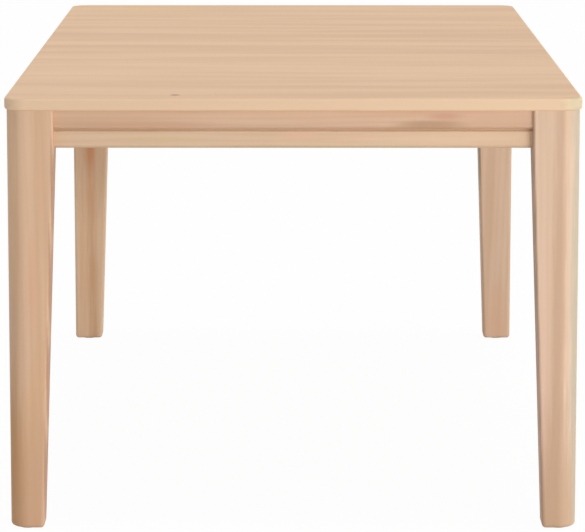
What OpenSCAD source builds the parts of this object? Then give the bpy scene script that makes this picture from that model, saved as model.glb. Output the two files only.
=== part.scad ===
// Dining table in pale solid wood.
// A top with rounded corners stands on four legs that taper on their two inner faces.
// Between the legs run two rows of apron boards, one above the other, with a shadow
// gap between them. The legs are pulled to the apron by hanger bolts through corner
// blocks, and metal clips hold the top.
// Units are millimetres. The origin is on the floor under the middle of the table,
// X runs across the width, Y along the length and Z up. The end in view faces -Y.

/* [Table] */
// Width of the top, across the end in view
table_w = 1000; // [850:10:1200]
// Length of the top
table_l = 2000; // [1500:10:2400]
// Height of the upper face of the top above the floor
table_h = 760; // [700:5:800]

/* [Top] */
// Thickness of the top
top_t = 22; // [19:1:30]
// Radius of the corners of the top, seen from above
top_corner_r = 38; // [28:1:45]
// Radius of the softened edge of the top, above and below
top_edge_r = 5; // [2:0.5:8]
// Step from the edge of the top in to the legs
top_overhang = 4; // [1:0.5:10]

/* [Legs] */
// Width of a leg at the apron
leg_w = 82; // [74:1:96]
// Width of a leg at its foot
foot_w = 60; // [54:1:70]
// Radius of the three plain edges of a leg
leg_edge_r = 4; // [2:0.5:6]
// Radius of the rounding round the foot
foot_edge_r = 7; // [4:0.5:10]

/* [Apron boards] */
// Height of the upper board
upper_rail_h = 32.5; // [28:0.5:44]
// Thickness of the upper board
upper_rail_t = 28; // [26:1:32]
// Step from the face of the leg in to the upper board
upper_setback = 8; // [7:0.5:12]
// Height of the shadow gap between the boards
shadow_gap = 0.5; // [0.5:0.5:8]
// Height of the lower board
lower_rail_h = 33; // [27:0.5:50]
// Step from the face of the leg in to the lower board
lower_setback = 16; // [13.5:0.5:19]
// Radius of the long edges of the boards
rail_edge_r = 2.5; // [0.5:0.25:3.5]
// Radius of the nose of the upper board, its lower edge on the outer side
upper_nose_r = 6; // [4:0.5:8]
// Height of the groove along the upper edge of the lower board, on the outer side
groove_h = 4.5; // [3:0.5:6]
// Depth of the groove
groove_d = 3; // [2:0.5:3.5]

/* [Corner blocks] */
// Thickness of a corner block, measured through it along the bolt
block_t = 27; // [24:1:32]
// Gap between a corner block and the inner edge of the leg
block_gap = 3; // [2:0.5:6]
// Step from the ends of the apron in to a corner block, above and below
block_inset = 3; // [1:0.5:6]

/* [Cross bearers] */
// Width of a bearer
bearer_w = 60; // [50:1:80]
// Height of a bearer
bearer_h = 22; // [18:1:26]

/* [Dowels] */
// Diameter of the dowels
dowel_d = 8; // [6:0.5:9]
// Length of the dowels between a board and a leg
dowel_l = 36; // [28:1:40]
// Distance between the two dowels of a board
dowel_pitch = 14; // [12:0.5:15]
// Length of the dowels between a bearer and a side board
bearer_dowel_l = 30; // [24:1:34]
// Distance between the two dowels of a bearer
bearer_dowel_pitch = 30; // [24:1:36]

/* [Hanger bolts] */
// Diameter of the bolt thread
bolt_d = 8; // [6:0.5:8.5]
// Length of a hanger bolt
bolt_l = 80; // [70:1:90]
// Length of bolt that stands out past the nut
bolt_tip = 2; // [1:0.5:4]
// Outer diameter of a washer
washer_d = 16; // [14:0.5:22]
// Thickness of a washer
washer_t = 1.6; // [1:0.1:2.5]
// Width of a nut across its flats
nut_af = 13; // [12:0.5:15]
// Height of a nut
nut_h = 6.5; // [5:0.5:8]

/* [Screws] */
// Diameter of the screw shanks
screw_d = 4; // [3:0.25:5]
// Length of the wood screws under the head
screw_l = 25; // [22:1:27]
// Length of the clip screws under the head
clip_screw_l = 15; // [12:1:16]
// Diameter of the screw heads
screw_head_d = 8; // [7:0.25:8.5]
// Height of the screw heads
screw_head_h = 2.6; // [2:0.1:3]

/* [Top clips] */
// Width of a clip
clip_w = 20; // [16:1:26]
// Length of the flange that lies under the top
clip_flange = 22; // [20:1:28]
// Thickness of the sheet that a clip is bent from
clip_t = 1.5; // [1:0.25:2]
// Distance from the underside of the top down to the slot for the clip
clip_drop = 10; // [8:0.5:12]
// Reach of the clip into its slot
clip_reach = 8; // [6:0.5:10]

/* [Foot glides] */
// Diameter of a glide
glide_d = 28; // [20:1:32]
// Height of a glide, from the floor to the foot
glide_h = 3; // [2.5:0.25:5]
// Diameter of the nail in a glide
glide_nail_d = 2.5; // [2:0.25:3]
// Length of the nail in a glide
glide_nail_l = 18; // [14:1:25]

/* [Hidden] */

// Sides of the table
left = -1;
right = 1;
front = -1;
back = 1;

// Smoothness of round shapes
$fn = 48;
hull_corner_fn = 64;
hull_edge_fn = 32;
hex = 6;

// Colours
top_colour = [0.86, 0.74, 0.62];
leg_colour = [0.80, 0.66, 0.53];
upper_colour = [0.83, 0.69, 0.57];
lower_colour = [0.86, 0.74, 0.61];
inner_wood_colour = [0.87, 0.78, 0.65];
dowel_colour = [0.90, 0.82, 0.68];
zinc_colour = [0.78, 0.79, 0.80];
dark_zinc_colour = [0.62, 0.62, 0.60];
glide_colour = [0.93, 0.91, 0.86];

// Overrun of every cut past the face that it opens
over = 1;
// Gap all round between a pin and its hole
pin_gap = 0.05;
// Gap all round between a bolt and its hole in a corner block
bolt_gap = 0.5;
// Gap all round between a washer and the bolt
washer_gap = 0.2;
// Room past each end of a dowel
dowel_room = 1;
// Room past the tip of a screw, a bolt or a nail
tip_room = 0.5;
// Chamfer on the ends of the dowels
dowel_chamfer = 1;
// Length of the pointed end of a screw
screw_point = 3;
// Chamfer on the head of a screw
screw_head_chamfer = 0.7;
// Width of the cross in a screw head
cross_w = 0.9;
// Length of the cross in a screw head
cross_l = 4.4;
// Depth of the cross in a screw head
cross_depth = 1.5;
// Gap all round between a screw head and its counterbore
head_gap = 0.5;
// Wood left in the lower board past the tip of a wood screw
rail_wall = 5;
// Wood left in the top past the tip of a wood screw
top_wall = 9;
// Length of the coarse thread's pointed end on a hanger bolt
bolt_point = 6;
// Chamfer on the threaded end of a hanger bolt
bolt_chamfer = 1;
// How much thinner the coarse thread of a hanger bolt is than its fine thread
bolt_thinning = 1;
// Gap between a clip and the board beside it
clip_gap = 1;
// Room round a clip in its slot, at its sides, its end and below it
slot_room = 2;
// Radius of the hole round the screw of a clip, past the shank
clip_hole_gap = 0.3;
// Chamfer round the foot of a glide
glide_chamfer = 0.8;
// Diameter of the head of a glide nail
glide_nail_head_d = 6;
// Height of the head of a glide nail
glide_nail_head_h = 1;
// Depth at which the head of a glide nail lies above the floor
glide_nail_recess = 0.9;
// Height of the plain section at the upper end of a leg's tapered part
taper_lip = 1;
// Places of the clips along a side board, as shares of its length
side_clip_shares = [-0.32, 0, 0.32];
// Places of the clips along an end board, as shares of its length
end_clip_shares = [-0.2, 0.2];
// Place of a bearer from the middle, as a share of the length of the top
bearer_place_share = 1 / 6;
// Places of the screws along a bearer, as shares of its length
bearer_screw_shares = [-0.36, 0, 0.36];

// Faces of the legs and boards
leg_out_x = table_w / 2 - top_overhang;
leg_out_y = table_l / 2 - top_overhang;
leg_corner_r = top_corner_r - top_overhang;
end_rail_l = 2 * (leg_out_x - leg_w);
side_rail_l = 2 * (leg_out_y - leg_w);
rail_in = upper_setback + upper_rail_t;
lower_rail_t = rail_in - lower_setback;

// Heights
under_z = table_h - top_t;
upper_z = under_z - upper_rail_h;
lower_z = upper_z - shadow_gap - lower_rail_h;
upper_mid_z = upper_z + upper_rail_h / 2;
lower_mid_z = lower_z + lower_rail_h / 2;
joint_zs = [upper_mid_z, lower_mid_z];

// Middle of the thickness of each board, from the face of the leg
upper_mid_y = upper_setback + upper_rail_t / 2;
lower_mid_y = lower_setback + lower_rail_t / 2;

// Corner blocks, as distances along the diagonal of the corner
block_near = leg_w * sqrt(2) + block_gap;
block_far = block_near + block_t;
block_end = (block_near + block_far) / sqrt(2) - rail_in;

// Wood screws
screw_bite = lower_rail_t - rail_wall;
block_seat = screw_l - screw_bite;
bearer_seat = screw_l - (top_t - top_wall);

// Hanger bolts, as distances along the diagonal of the corner
bolt_end = block_far + washer_t + nut_h + bolt_tip;
bolt_start = bolt_end - bolt_l;

// Bearers
bearer_l = 2 * (leg_out_x - rail_in);
bearer_y = table_l * bearer_place_share;
bearer_z = under_z - bearer_h;

// Clips
slot_top = under_z - clip_drop;
clip_screw_y = rail_in + clip_gap + (clip_t + clip_flange) / 2;

// Moves a shape made for the front left corner, where the leg's outer faces meet at
// the origin, to one of the four corners
module at_corner(x_side, y_side) {
    translate([x_side * leg_out_x, y_side * leg_out_y, 0])
        mirror([x_side == right ? 1 : 0, 0, 0])
            mirror([0, y_side == back ? 1 : 0, 0])
                children();
}

module at_each_corner() {
    for (x_side = [left, right], y_side = [front, back])
        at_corner(x_side, y_side) children();
}

// Moves a shape made along X, with the outer faces of the legs at y = 0 and the inside
// of the table towards +Y, to one of the two ends
module at_end(y_side) {
    translate([0, y_side * leg_out_y, 0])
        mirror([0, y_side == back ? 1 : 0, 0])
            children();
}

// The same for one of the two sides
module at_side(x_side) {
    translate([x_side * leg_out_x, 0, 0])
        mirror([x_side == right ? 1 : 0, 0, 0])
            rotate([0, 0, -90])
                children();
}

// Turns a shape made along Z so that it runs along the diagonal of the front left corner
module along_diagonal(z) {
    translate([0, 0, z])
        rotate([0, 0, 45])
            rotate([0, 90, 0])
                children();
}

// Repeats a shape on both sides of the diagonal of the front left corner
module each_side_of_diagonal() {
    children();
    mirror([1, -1, 0]) children();
}

// Rectangle with rounded corners, centred across and standing on its lower side
module rounded_section(width, height, radius) {
    translate([-width / 2 + radius, 0]) square([width - 2 * radius, height]);
    translate([-width / 2, radius]) square([width, height - 2 * radius]);
    for (x = [radius - width / 2, width / 2 - radius], y = [radius, height - radius])
        translate([x, y]) circle(r = radius);
}

// The same with a larger rounding, the nose, at the lower corner on the left
module nosed_section(width, height, radius, nose) {
    translate([-width / 2, nose]) square([nose, height - nose - radius]);
    translate([radius - width / 2, height - radius]) square([nose - radius, radius]);
    translate([nose - width / 2, 0]) square([width - nose - radius, height]);
    translate([width / 2 - radius, radius]) square([radius, height - 2 * radius]);
    translate([nose - width / 2, nose]) circle(r = nose);
    translate([radius - width / 2, height - radius]) circle(r = radius);
    for (y = [radius, height - radius])
        translate([width / 2 - radius, y]) circle(r = radius);
}

// The same with a groove instead of the rounding at the upper corner on the left
module grooved_section(width, height, radius, depth, groove) {
    translate([-width / 2, radius]) square([width, height - groove - radius]);
    translate([radius - width / 2, 0]) square([width - 2 * radius, height - groove]);
    translate([depth - width / 2, radius]) square([width - depth - radius, height - radius]);
    translate([width / 2 - radius, radius]) square([radius, height - 2 * radius]);
    translate([radius - width / 2, radius]) circle(r = radius);
    for (y = [radius, height - radius])
        translate([width / 2 - radius, y]) circle(r = radius);
}

// Pin along Z from z = 0 up, with chamfered ends
module pin(diameter, length, chamfer) {
    rotate_extrude()
        polygon([
            [0, 0], [diameter / 2 - chamfer, 0], [diameter / 2, chamfer],
            [diameter / 2, length - chamfer], [diameter / 2 - chamfer, length], [0, length]
        ]);
}

// Screw along Z, with the underside of its head at z = 0 and its point below
module screw(length) {
    difference() {
        rotate_extrude()
            polygon([
                [0, -length], [screw_d / 2, screw_point - length], [screw_d / 2, 0],
                [screw_head_d / 2, 0], [screw_head_d / 2, screw_head_h - screw_head_chamfer],
                [screw_head_d / 2 - screw_head_chamfer, screw_head_h], [0, screw_head_h]
            ]);
        for (turn = [0, 90])
            rotate([0, 0, turn])
                translate([-cross_l / 2, -cross_w / 2, screw_head_h - cross_depth])
                    cube([cross_l, cross_w, cross_depth + over]);
    }
}

// Hole for a screw, from the underside of its head down, open upwards for the head
module screw_hole(length) {
    translate([0, 0, -length - tip_room])
        cylinder(d = screw_d + 2 * pin_gap, h = length + tip_room + over);
}

module head_hole(depth) {
    cylinder(d = screw_head_d + 2 * head_gap, h = depth + over);
}

// The top

module top_blank() {
    for (x = [-1, 1], y = [-1, 1])
        translate([x * (table_w / 2 - top_corner_r), y * (table_l / 2 - top_corner_r), 0])
            rotate_extrude()
                intersection() {
                    rounded_section(2 * top_corner_r, top_t, top_edge_r);
                    square([top_corner_r, top_t]);
                }
    translate([0, table_l / 2 - top_corner_r, 0])
        rotate([90, 0, 0])
            linear_extrude(height = table_l - 2 * top_corner_r)
                rounded_section(table_w, top_t, top_edge_r);
    translate([top_corner_r - table_w / 2, 0, 0])
        rotate([90, 0, 90])
            linear_extrude(height = table_w - 2 * top_corner_r)
                rounded_section(table_l, top_t, top_edge_r);
}

module tabletop() {
    color(top_colour)
        difference() {
            translate([0, 0, under_z]) top_blank();
            at_clips() at_clip_screw() screw_hole(clip_screw_l);
            at_bearer_screws() screw_hole(screw_l);
        }
}

// The legs, made for the front left corner

module leg_section() {
    difference() {
        square(leg_w);
        square(leg_corner_r);
        for (place = [[1, 0], [0, 1], [1, 1]])
            translate(place * (leg_w - leg_edge_r)) square(leg_edge_r);
    }
    translate([leg_corner_r, leg_corner_r]) circle(r = leg_corner_r, $fn = hull_corner_fn);
    for (place = [[1, 0], [0, 1], [1, 1]])
        translate([leg_edge_r, leg_edge_r] + place * (leg_w - 2 * leg_edge_r))
            circle(r = leg_edge_r, $fn = hull_edge_fn);
}

// Tapered part, from the foot up to the lower edge of the apron
module leg_shaft() {
    hull() {
        translate([0, 0, lower_z - taper_lip]) linear_extrude(height = taper_lip) leg_section();
        for (angle = [180 : 360 / hull_corner_fn : 270])
            translate([leg_corner_r + (leg_corner_r - foot_edge_r) * cos(angle),
                       leg_corner_r + (leg_corner_r - foot_edge_r) * sin(angle),
                       glide_h + foot_edge_r])
                sphere(r = foot_edge_r, $fn = hull_edge_fn);
        for (place = [[1, 0], [0, 1], [1, 1]])
            translate(concat([foot_edge_r, foot_edge_r] + place * (foot_w - 2 * foot_edge_r),
                             glide_h + foot_edge_r))
                sphere(r = foot_edge_r, $fn = hull_edge_fn);
    }
}

module leg(x_side, y_side) {
    color(leg_colour)
        at_corner(x_side, y_side)
            difference() {
                union() {
                    leg_shaft();
                    translate([0, 0, lower_z]) linear_extrude(height = under_z - lower_z) leg_section();
                }
                each_side_of_diagonal() {
                    leg_dowel_holes(upper_mid_y, upper_mid_z);
                    leg_dowel_holes(lower_mid_y, lower_mid_z);
                }
                for (z = joint_zs) along_diagonal(z) bolt_hole();
                translate([foot_w / 2, foot_w / 2, 0]) glide_nail_hole();
            }
}

module leg_dowel_holes(y, z) {
    for (step = [-1, 1])
        translate([leg_w - dowel_l / 2 - dowel_room, y, z + step * dowel_pitch / 2])
            rotate([0, 90, 0])
                cylinder(d = dowel_d + 2 * pin_gap, h = dowel_l / 2 + dowel_room + over);
}

module leg_front_left() { leg(left, front); }
module leg_front_right() { leg(right, front); }
module leg_back_left() { leg(left, back); }
module leg_back_right() { leg(right, back); }

// The apron boards, made along X with the outer faces of the legs at y = 0

// Board with its middle at x = 0, from y = 0 in, of a section that stands on z = 0
module rail_blank(length, thickness) {
    translate([-length / 2, thickness / 2, 0])
        rotate([90, 0, 90])
            linear_extrude(height = length)
                children();
}

// Holes for the dowels in both ends of a board
module rail_dowel_holes(length, y, z) {
    depth = dowel_l / 2 + dowel_room;
    for (end = [-1, 1], step = [-1, 1])
        translate([end * (length / 2 - depth), y, z + step * dowel_pitch / 2])
            rotate([0, end * 90, 0])
                cylinder(d = dowel_d + 2 * pin_gap, h = depth + over);
}

// Holes for the screws that come through the corner blocks
module rail_screw_holes(length, z) {
    for (end = [-1, 1])
        translate([end * (length / 2 + leg_w - block_end), rail_in + block_seat, z])
            rotate([-90, 0, 0])
                screw_hole(screw_l);
}

module clip_slots(length, shares) {
    for (share = shares)
        translate([share * length - clip_w / 2 - slot_room, rail_in - clip_reach - slot_room,
                   slot_top - clip_t - slot_room])
            cube([clip_w + 2 * slot_room, clip_reach + slot_room + over, clip_t + slot_room]);
}

// Holes for the dowels of the two bearers, in the inner face of a side board
module bearer_dowel_holes_in_rail() {
    depth = bearer_dowel_l / 2 + dowel_room;
    for (place = [-1, 1], step = [-1, 1])
        translate([place * bearer_y + step * bearer_dowel_pitch / 2, rail_in - depth,
                   bearer_z + bearer_h / 2])
            rotate([-90, 0, 0])
                cylinder(d = dowel_d + 2 * pin_gap, h = depth + over);
}

module upper_rail(length, clip_shares) {
    difference() {
        translate([0, upper_setback, upper_z])
            rail_blank(length, upper_rail_t)
                nosed_section(upper_rail_t, upper_rail_h, rail_edge_r, upper_nose_r);
        rail_dowel_holes(length, upper_mid_y, upper_mid_z);
        rail_screw_holes(length, upper_mid_z);
        clip_slots(length, clip_shares);
    }
}

module side_upper_rail() {
    difference() {
        upper_rail(side_rail_l, side_clip_shares);
        bearer_dowel_holes_in_rail();
    }
}

module lower_rail(length) {
    difference() {
        translate([0, lower_setback, lower_z])
            rail_blank(length, lower_rail_t)
                grooved_section(lower_rail_t, lower_rail_h, rail_edge_r, groove_d, groove_h);
        rail_dowel_holes(length, lower_mid_y, lower_mid_z);
        rail_screw_holes(length, lower_mid_z);
    }
}

module upper_rail_front() { color(upper_colour) at_end(front) upper_rail(end_rail_l, end_clip_shares); }
module upper_rail_back() { color(upper_colour) at_end(back) upper_rail(end_rail_l, end_clip_shares); }
module upper_rail_left() { color(upper_colour) at_side(left) side_upper_rail(); }
module upper_rail_right() { color(upper_colour) at_side(right) side_upper_rail(); }
module lower_rail_front() { color(lower_colour) at_end(front) lower_rail(end_rail_l); }
module lower_rail_back() { color(lower_colour) at_end(back) lower_rail(end_rail_l); }
module lower_rail_left() { color(lower_colour) at_side(left) lower_rail(side_rail_l); }
module lower_rail_right() { color(lower_colour) at_side(right) lower_rail(side_rail_l); }

// The corner blocks, made for the front left corner

module corner_block(x_side, y_side) {
    near = block_near * sqrt(2) - rail_in;
    far = block_far * sqrt(2) - rail_in;
    color(inner_wood_colour)
        at_corner(x_side, y_side)
            difference() {
                translate([0, 0, lower_z + block_inset])
                    linear_extrude(height = under_z - lower_z - 2 * block_inset)
                        polygon([[rail_in, near], [near, rail_in], [far, rail_in], [rail_in, far]]);
                for (z = joint_zs) {
                    along_diagonal(z) cylinder(d = bolt_d + 2 * bolt_gap, h = block_far + over);
                    each_side_of_diagonal() at_block_screw(z) {
                        screw_hole(screw_l);
                        head_hole(block_t);
                    }
                }
            }
}

// Place of the screw that goes through a corner block into the end board
module at_block_screw(z) {
    translate([block_end, rail_in + block_seat, z])
        rotate([-90, 0, 0])
            children();
}

module corner_block_front_left() { corner_block(left, front); }
module corner_block_front_right() { corner_block(right, front); }
module corner_block_back_left() { corner_block(left, back); }
module corner_block_back_right() { corner_block(right, back); }

// The cross bearers

module cross_bearer(y_side) {
    depth = bearer_dowel_l / 2 + dowel_room;
    color(inner_wood_colour)
        difference() {
            translate([-bearer_l / 2, y_side * bearer_y, bearer_z])
                rotate([90, 0, 90])
                    linear_extrude(height = bearer_l)
                        rounded_section(bearer_w, bearer_h, rail_edge_r);
            for (end = [-1, 1], step = [-1, 1])
                translate([end * (bearer_l / 2 - depth),
                           y_side * bearer_y + step * bearer_dowel_pitch / 2, bearer_z + bearer_h / 2])
                    rotate([0, end * 90, 0])
                        cylinder(d = dowel_d + 2 * pin_gap, h = depth + over);
            at_bearer_screws() {
                screw_hole(screw_l);
                head_hole(bearer_h);
            }
        }
}

// Places of the screws that go up through the bearers into the top
module at_bearer_screws() {
    for (place = [-1, 1], share = bearer_screw_shares)
        translate([share * bearer_l, place * bearer_y, under_z - bearer_seat])
            mirror([0, 0, 1])
                children();
}

module cross_bearer_front() { cross_bearer(front); }
module cross_bearer_back() { cross_bearer(back); }

// The dowels

module rail_dowels() {
    color(dowel_colour)
        at_each_corner()
            each_side_of_diagonal()
                for (joint = [[upper_mid_y, upper_mid_z], [lower_mid_y, lower_mid_z]], step = [-1, 1])
                    translate([leg_w - dowel_l / 2, joint[0], joint[1] + step * dowel_pitch / 2])
                        rotate([0, 90, 0])
                            pin(dowel_d, dowel_l, dowel_chamfer);
}

module bearer_dowels() {
    color(dowel_colour)
        for (x = [-1, 1], y = [-1, 1], step = [-1, 1])
            translate([x * bearer_l / 2 - bearer_dowel_l / 2,
                       y * bearer_y + step * bearer_dowel_pitch / 2, bearer_z + bearer_h / 2])
                rotate([0, 90, 0])
                    pin(dowel_d, bearer_dowel_l, dowel_chamfer);
}

// The hanger bolts with their washers and nuts, made along Z from the corner of the leg

module at_each_bolt() {
    at_each_corner()
        for (z = joint_zs)
            along_diagonal(z) children();
}

module bolt_hole() {
    translate([0, 0, bolt_start - tip_room])
        cylinder(d = bolt_d - bolt_thinning + 2 * pin_gap, h = leg_w * sqrt(2) - bolt_start);
}

module hanger_bolts() {
    thin_r = (bolt_d - bolt_thinning) / 2;
    leg_end = leg_w * sqrt(2);
    color(zinc_colour)
        at_each_bolt()
            rotate_extrude()
                polygon([
                    [0, bolt_start], [thin_r, bolt_start + bolt_point], [thin_r, leg_end],
                    [bolt_d / 2, leg_end + bolt_thinning], [bolt_d / 2, bolt_end - bolt_chamfer],
                    [bolt_d / 2 - bolt_chamfer, bolt_end], [0, bolt_end]
                ]);
}

module hanger_washers() {
    color(zinc_colour)
        at_each_bolt()
            translate([0, 0, block_far])
                difference() {
                    cylinder(d = washer_d, h = washer_t);
                    translate([0, 0, -over]) cylinder(d = bolt_d + 2 * washer_gap, h = washer_t + 2 * over);
                }
}

module hanger_nuts() {
    color(dark_zinc_colour)
        at_each_bolt()
            translate([0, 0, block_far + washer_t])
                difference() {
                    cylinder(d = nut_af / cos(180 / hex), h = nut_h, $fn = hex);
                    translate([0, 0, -over]) cylinder(d = bolt_d + 2 * pin_gap, h = nut_h + 2 * over);
                }
}

// The screws

module wood_screws() {
    color(zinc_colour) {
        at_each_corner()
            for (z = joint_zs)
                each_side_of_diagonal() at_block_screw(z) screw(screw_l);
        at_bearer_screws() screw(screw_l);
    }
}

module clip_screws() {
    color(zinc_colour) at_clips() at_clip_screw() screw(clip_screw_l);
}

// The clips that hold the top, made at x = 0 of a board

module at_clips() {
    for (y_side = [front, back], share = end_clip_shares)
        at_end(y_side) translate([share * end_rail_l, 0, 0]) children();
    for (x_side = [left, right], share = side_clip_shares)
        at_side(x_side) translate([share * side_rail_l, 0, 0]) children();
}

// Place of the screw that goes up through a clip into the top
module at_clip_screw() {
    translate([0, clip_screw_y, under_z - clip_t])
        mirror([0, 0, 1])
            children();
}

// Bent sheet: a flange under the top, a web down beside the board and a tongue in its slot
module top_clip() {
    web_y = rail_in + clip_gap;
    difference() {
        translate([-clip_w / 2, web_y, under_z - clip_t]) cube([clip_w, clip_flange, clip_t]);
        at_clip_screw()
            translate([0, 0, -clip_t - over])
                cylinder(d = screw_d + 2 * clip_hole_gap, h = clip_t + 2 * over);
    }
    translate([-clip_w / 2, web_y, slot_top - clip_t]) cube([clip_w, clip_t, clip_drop + clip_t]);
    translate([-clip_w / 2, rail_in - clip_reach, slot_top - clip_t])
        cube([clip_w, clip_reach + clip_gap + clip_t, clip_t]);
}

module top_clips() {
    color(zinc_colour) at_clips() top_clip();
}

// The foot glides and their nails

module glide_nail_hole() {
    cylinder(d = glide_nail_d + 2 * pin_gap, h = glide_nail_recess + glide_nail_head_h + glide_nail_l + tip_room);
}

module foot_glide(x_side, y_side) {
    color(glide_colour)
        at_corner(x_side, y_side)
            translate([foot_w / 2, foot_w / 2, 0])
                difference() {
                    rotate_extrude()
                        polygon([
                            [0, 0], [glide_d / 2 - glide_chamfer, 0], [glide_d / 2, glide_chamfer],
                            [glide_d / 2, glide_h], [0, glide_h]
                        ]);
                    glide_nail_hole();
                    translate([0, 0, -over])
                        cylinder(d = glide_nail_head_d + 2 * pin_gap, h = glide_nail_recess + glide_nail_head_h + over);
                }
}

module foot_glide_front_left() { foot_glide(left, front); }
module foot_glide_front_right() { foot_glide(right, front); }
module foot_glide_back_left() { foot_glide(left, back); }
module foot_glide_back_right() { foot_glide(right, back); }

module glide_nails() {
    color(zinc_colour)
        at_each_corner()
            translate([foot_w / 2, foot_w / 2, glide_nail_recess])
                rotate_extrude()
                    polygon([
                        [0, 0], [glide_nail_head_d / 2, 0], [glide_nail_head_d / 2, glide_nail_head_h],
                        [glide_nail_d / 2, glide_nail_head_h],
                        [glide_nail_d / 2, glide_nail_head_h + glide_nail_l - glide_nail_d],
                        [0, glide_nail_head_h + glide_nail_l]
                    ]);
}

tabletop();
leg_front_left();
leg_front_right();
leg_back_left();
leg_back_right();
upper_rail_front();
upper_rail_back();
upper_rail_left();
upper_rail_right();
lower_rail_front();
lower_rail_back();
lower_rail_left();
lower_rail_right();
corner_block_front_left();
corner_block_front_right();
corner_block_back_left();
corner_block_back_right();
cross_bearer_front();
cross_bearer_back();
rail_dowels();
bearer_dowels();
hanger_bolts();
hanger_washers();
hanger_nuts();
wood_screws();
top_clips();
clip_screws();
foot_glide_front_left();
foot_glide_front_right();
foot_glide_back_left();
foot_glide_back_right();
glide_nails();
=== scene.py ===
"""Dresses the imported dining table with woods, fittings, light, a floor and the camera.

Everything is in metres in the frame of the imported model. The origin is on the floor under
the middle of the table, X runs across the end in view, Y along the table and Z up.
"""
import logging
import math
from dataclasses import dataclass
from enum import Enum
from typing import Iterator, Sequence

import bmesh
import bpy
from mathutils import Euler, Matrix, Quaternion, Vector


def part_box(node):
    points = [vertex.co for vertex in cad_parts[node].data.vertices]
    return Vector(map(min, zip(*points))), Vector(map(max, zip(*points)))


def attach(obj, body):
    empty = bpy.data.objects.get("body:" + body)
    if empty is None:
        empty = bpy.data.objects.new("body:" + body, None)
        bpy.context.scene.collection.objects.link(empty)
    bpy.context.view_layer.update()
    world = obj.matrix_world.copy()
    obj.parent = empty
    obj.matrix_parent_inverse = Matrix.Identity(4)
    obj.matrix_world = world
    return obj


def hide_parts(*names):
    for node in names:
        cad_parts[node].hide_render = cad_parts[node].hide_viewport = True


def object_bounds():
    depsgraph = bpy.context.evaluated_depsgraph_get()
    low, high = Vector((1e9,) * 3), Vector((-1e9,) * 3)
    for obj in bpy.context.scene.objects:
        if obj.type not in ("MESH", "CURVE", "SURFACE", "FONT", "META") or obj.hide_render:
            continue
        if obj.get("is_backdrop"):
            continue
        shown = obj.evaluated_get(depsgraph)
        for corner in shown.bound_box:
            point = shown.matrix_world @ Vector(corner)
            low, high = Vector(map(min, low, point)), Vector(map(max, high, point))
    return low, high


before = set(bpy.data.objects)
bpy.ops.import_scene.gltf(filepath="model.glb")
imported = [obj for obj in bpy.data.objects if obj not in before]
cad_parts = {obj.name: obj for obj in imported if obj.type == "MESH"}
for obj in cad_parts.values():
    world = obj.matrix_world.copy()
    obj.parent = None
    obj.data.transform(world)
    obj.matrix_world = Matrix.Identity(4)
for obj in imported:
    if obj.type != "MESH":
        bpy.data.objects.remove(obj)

CAD_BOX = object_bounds()
BODY = "root"
MM = 0.001
FULL_TURN = 2 * math.pi
QUARTER_TURN = math.pi / 2
DIAGONAL = math.sqrt(2)

log = logging.getLogger("dining_table")

Colour = tuple[float, float, float, float]
Triple = tuple[float, float, float]


def paint(red: int, green: int, blue: int) -> Colour:
    """Gives the linear colour of a colour written in sRGB.

    Args:
        red: Red from 0 to 255.
        green: Green from 0 to 255.
        blue: Blue from 0 to 255.

    Returns:
        The colour as Blender's shaders take it.
    """
    def linear(level: int) -> float:
        """Gives the linear share of one sRGB level."""
        share = level / 255
        return share / 12.92 if share <= 0.04045 else ((share + 0.055) / 1.055) ** 2.4

    return (linear(red), linear(green), linear(blue), 1.0)


class Side(Enum):
    """Left or right of the table, as the camera sees it."""

    LEFT = -1
    RIGHT = 1


class End(Enum):
    """End of the table, near the camera or away from it."""

    FRONT = -1
    BACK = 1


class Grain(Enum):
    """Direction of the fibres, as the turn that brings them along X."""

    ACROSS = (0.0, 0.0, 0.0)
    LENGTHWISE = (0.0, 0.0, -QUARTER_TURN)
    UPRIGHT = (0.0, QUARTER_TURN, 0.0)


# Node trees


class Signal:
    """A number on a node's socket that takes part in Python expressions."""

    def __init__(self, bench: "Bench", socket: bpy.types.NodeSocket) -> None:
        """Wraps a socket of a bench's tree."""
        self.bench = bench
        self.socket = socket

    def __add__(self, other: "Signal | float") -> "Signal":
        """Adds."""
        return self.bench.math("ADD", self, other)

    __radd__ = __add__

    def __mul__(self, other: "Signal | float") -> "Signal":
        """Multiplies."""
        return self.bench.math("MULTIPLY", self, other)

    __rmul__ = __mul__

    def __sub__(self, other: "Signal | float") -> "Signal":
        """Subtracts."""
        return self.bench.math("SUBTRACT", self, other)

    def __rsub__(self, other: "Signal | float") -> "Signal":
        """Subtracts from a number."""
        return self.bench.math("SUBTRACT", other, self)

    def __truediv__(self, other: "Signal | float") -> "Signal":
        """Divides."""
        return self.bench.math("DIVIDE", self, other)

    def __pow__(self, other: float) -> "Signal":
        """Raises to a power."""
        return self.bench.math("POWER", self, other)

    def ramp(self, low: float, high: float) -> "Signal":
        """Rises smoothly from 0 to 1, or falls where low is above high.

        Args:
            low: Value at which the result is 0.
            high: Value at which the result is 1.

        Returns:
            The smooth step.
        """
        rise = self.bench.number("ShaderNodeMapRange", {
            "Value": self, "From Min": min(low, high), "From Max": max(low, high),
        }, interpolation_type="SMOOTHSTEP")
        return rise if low <= high else 1.0 - rise


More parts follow.
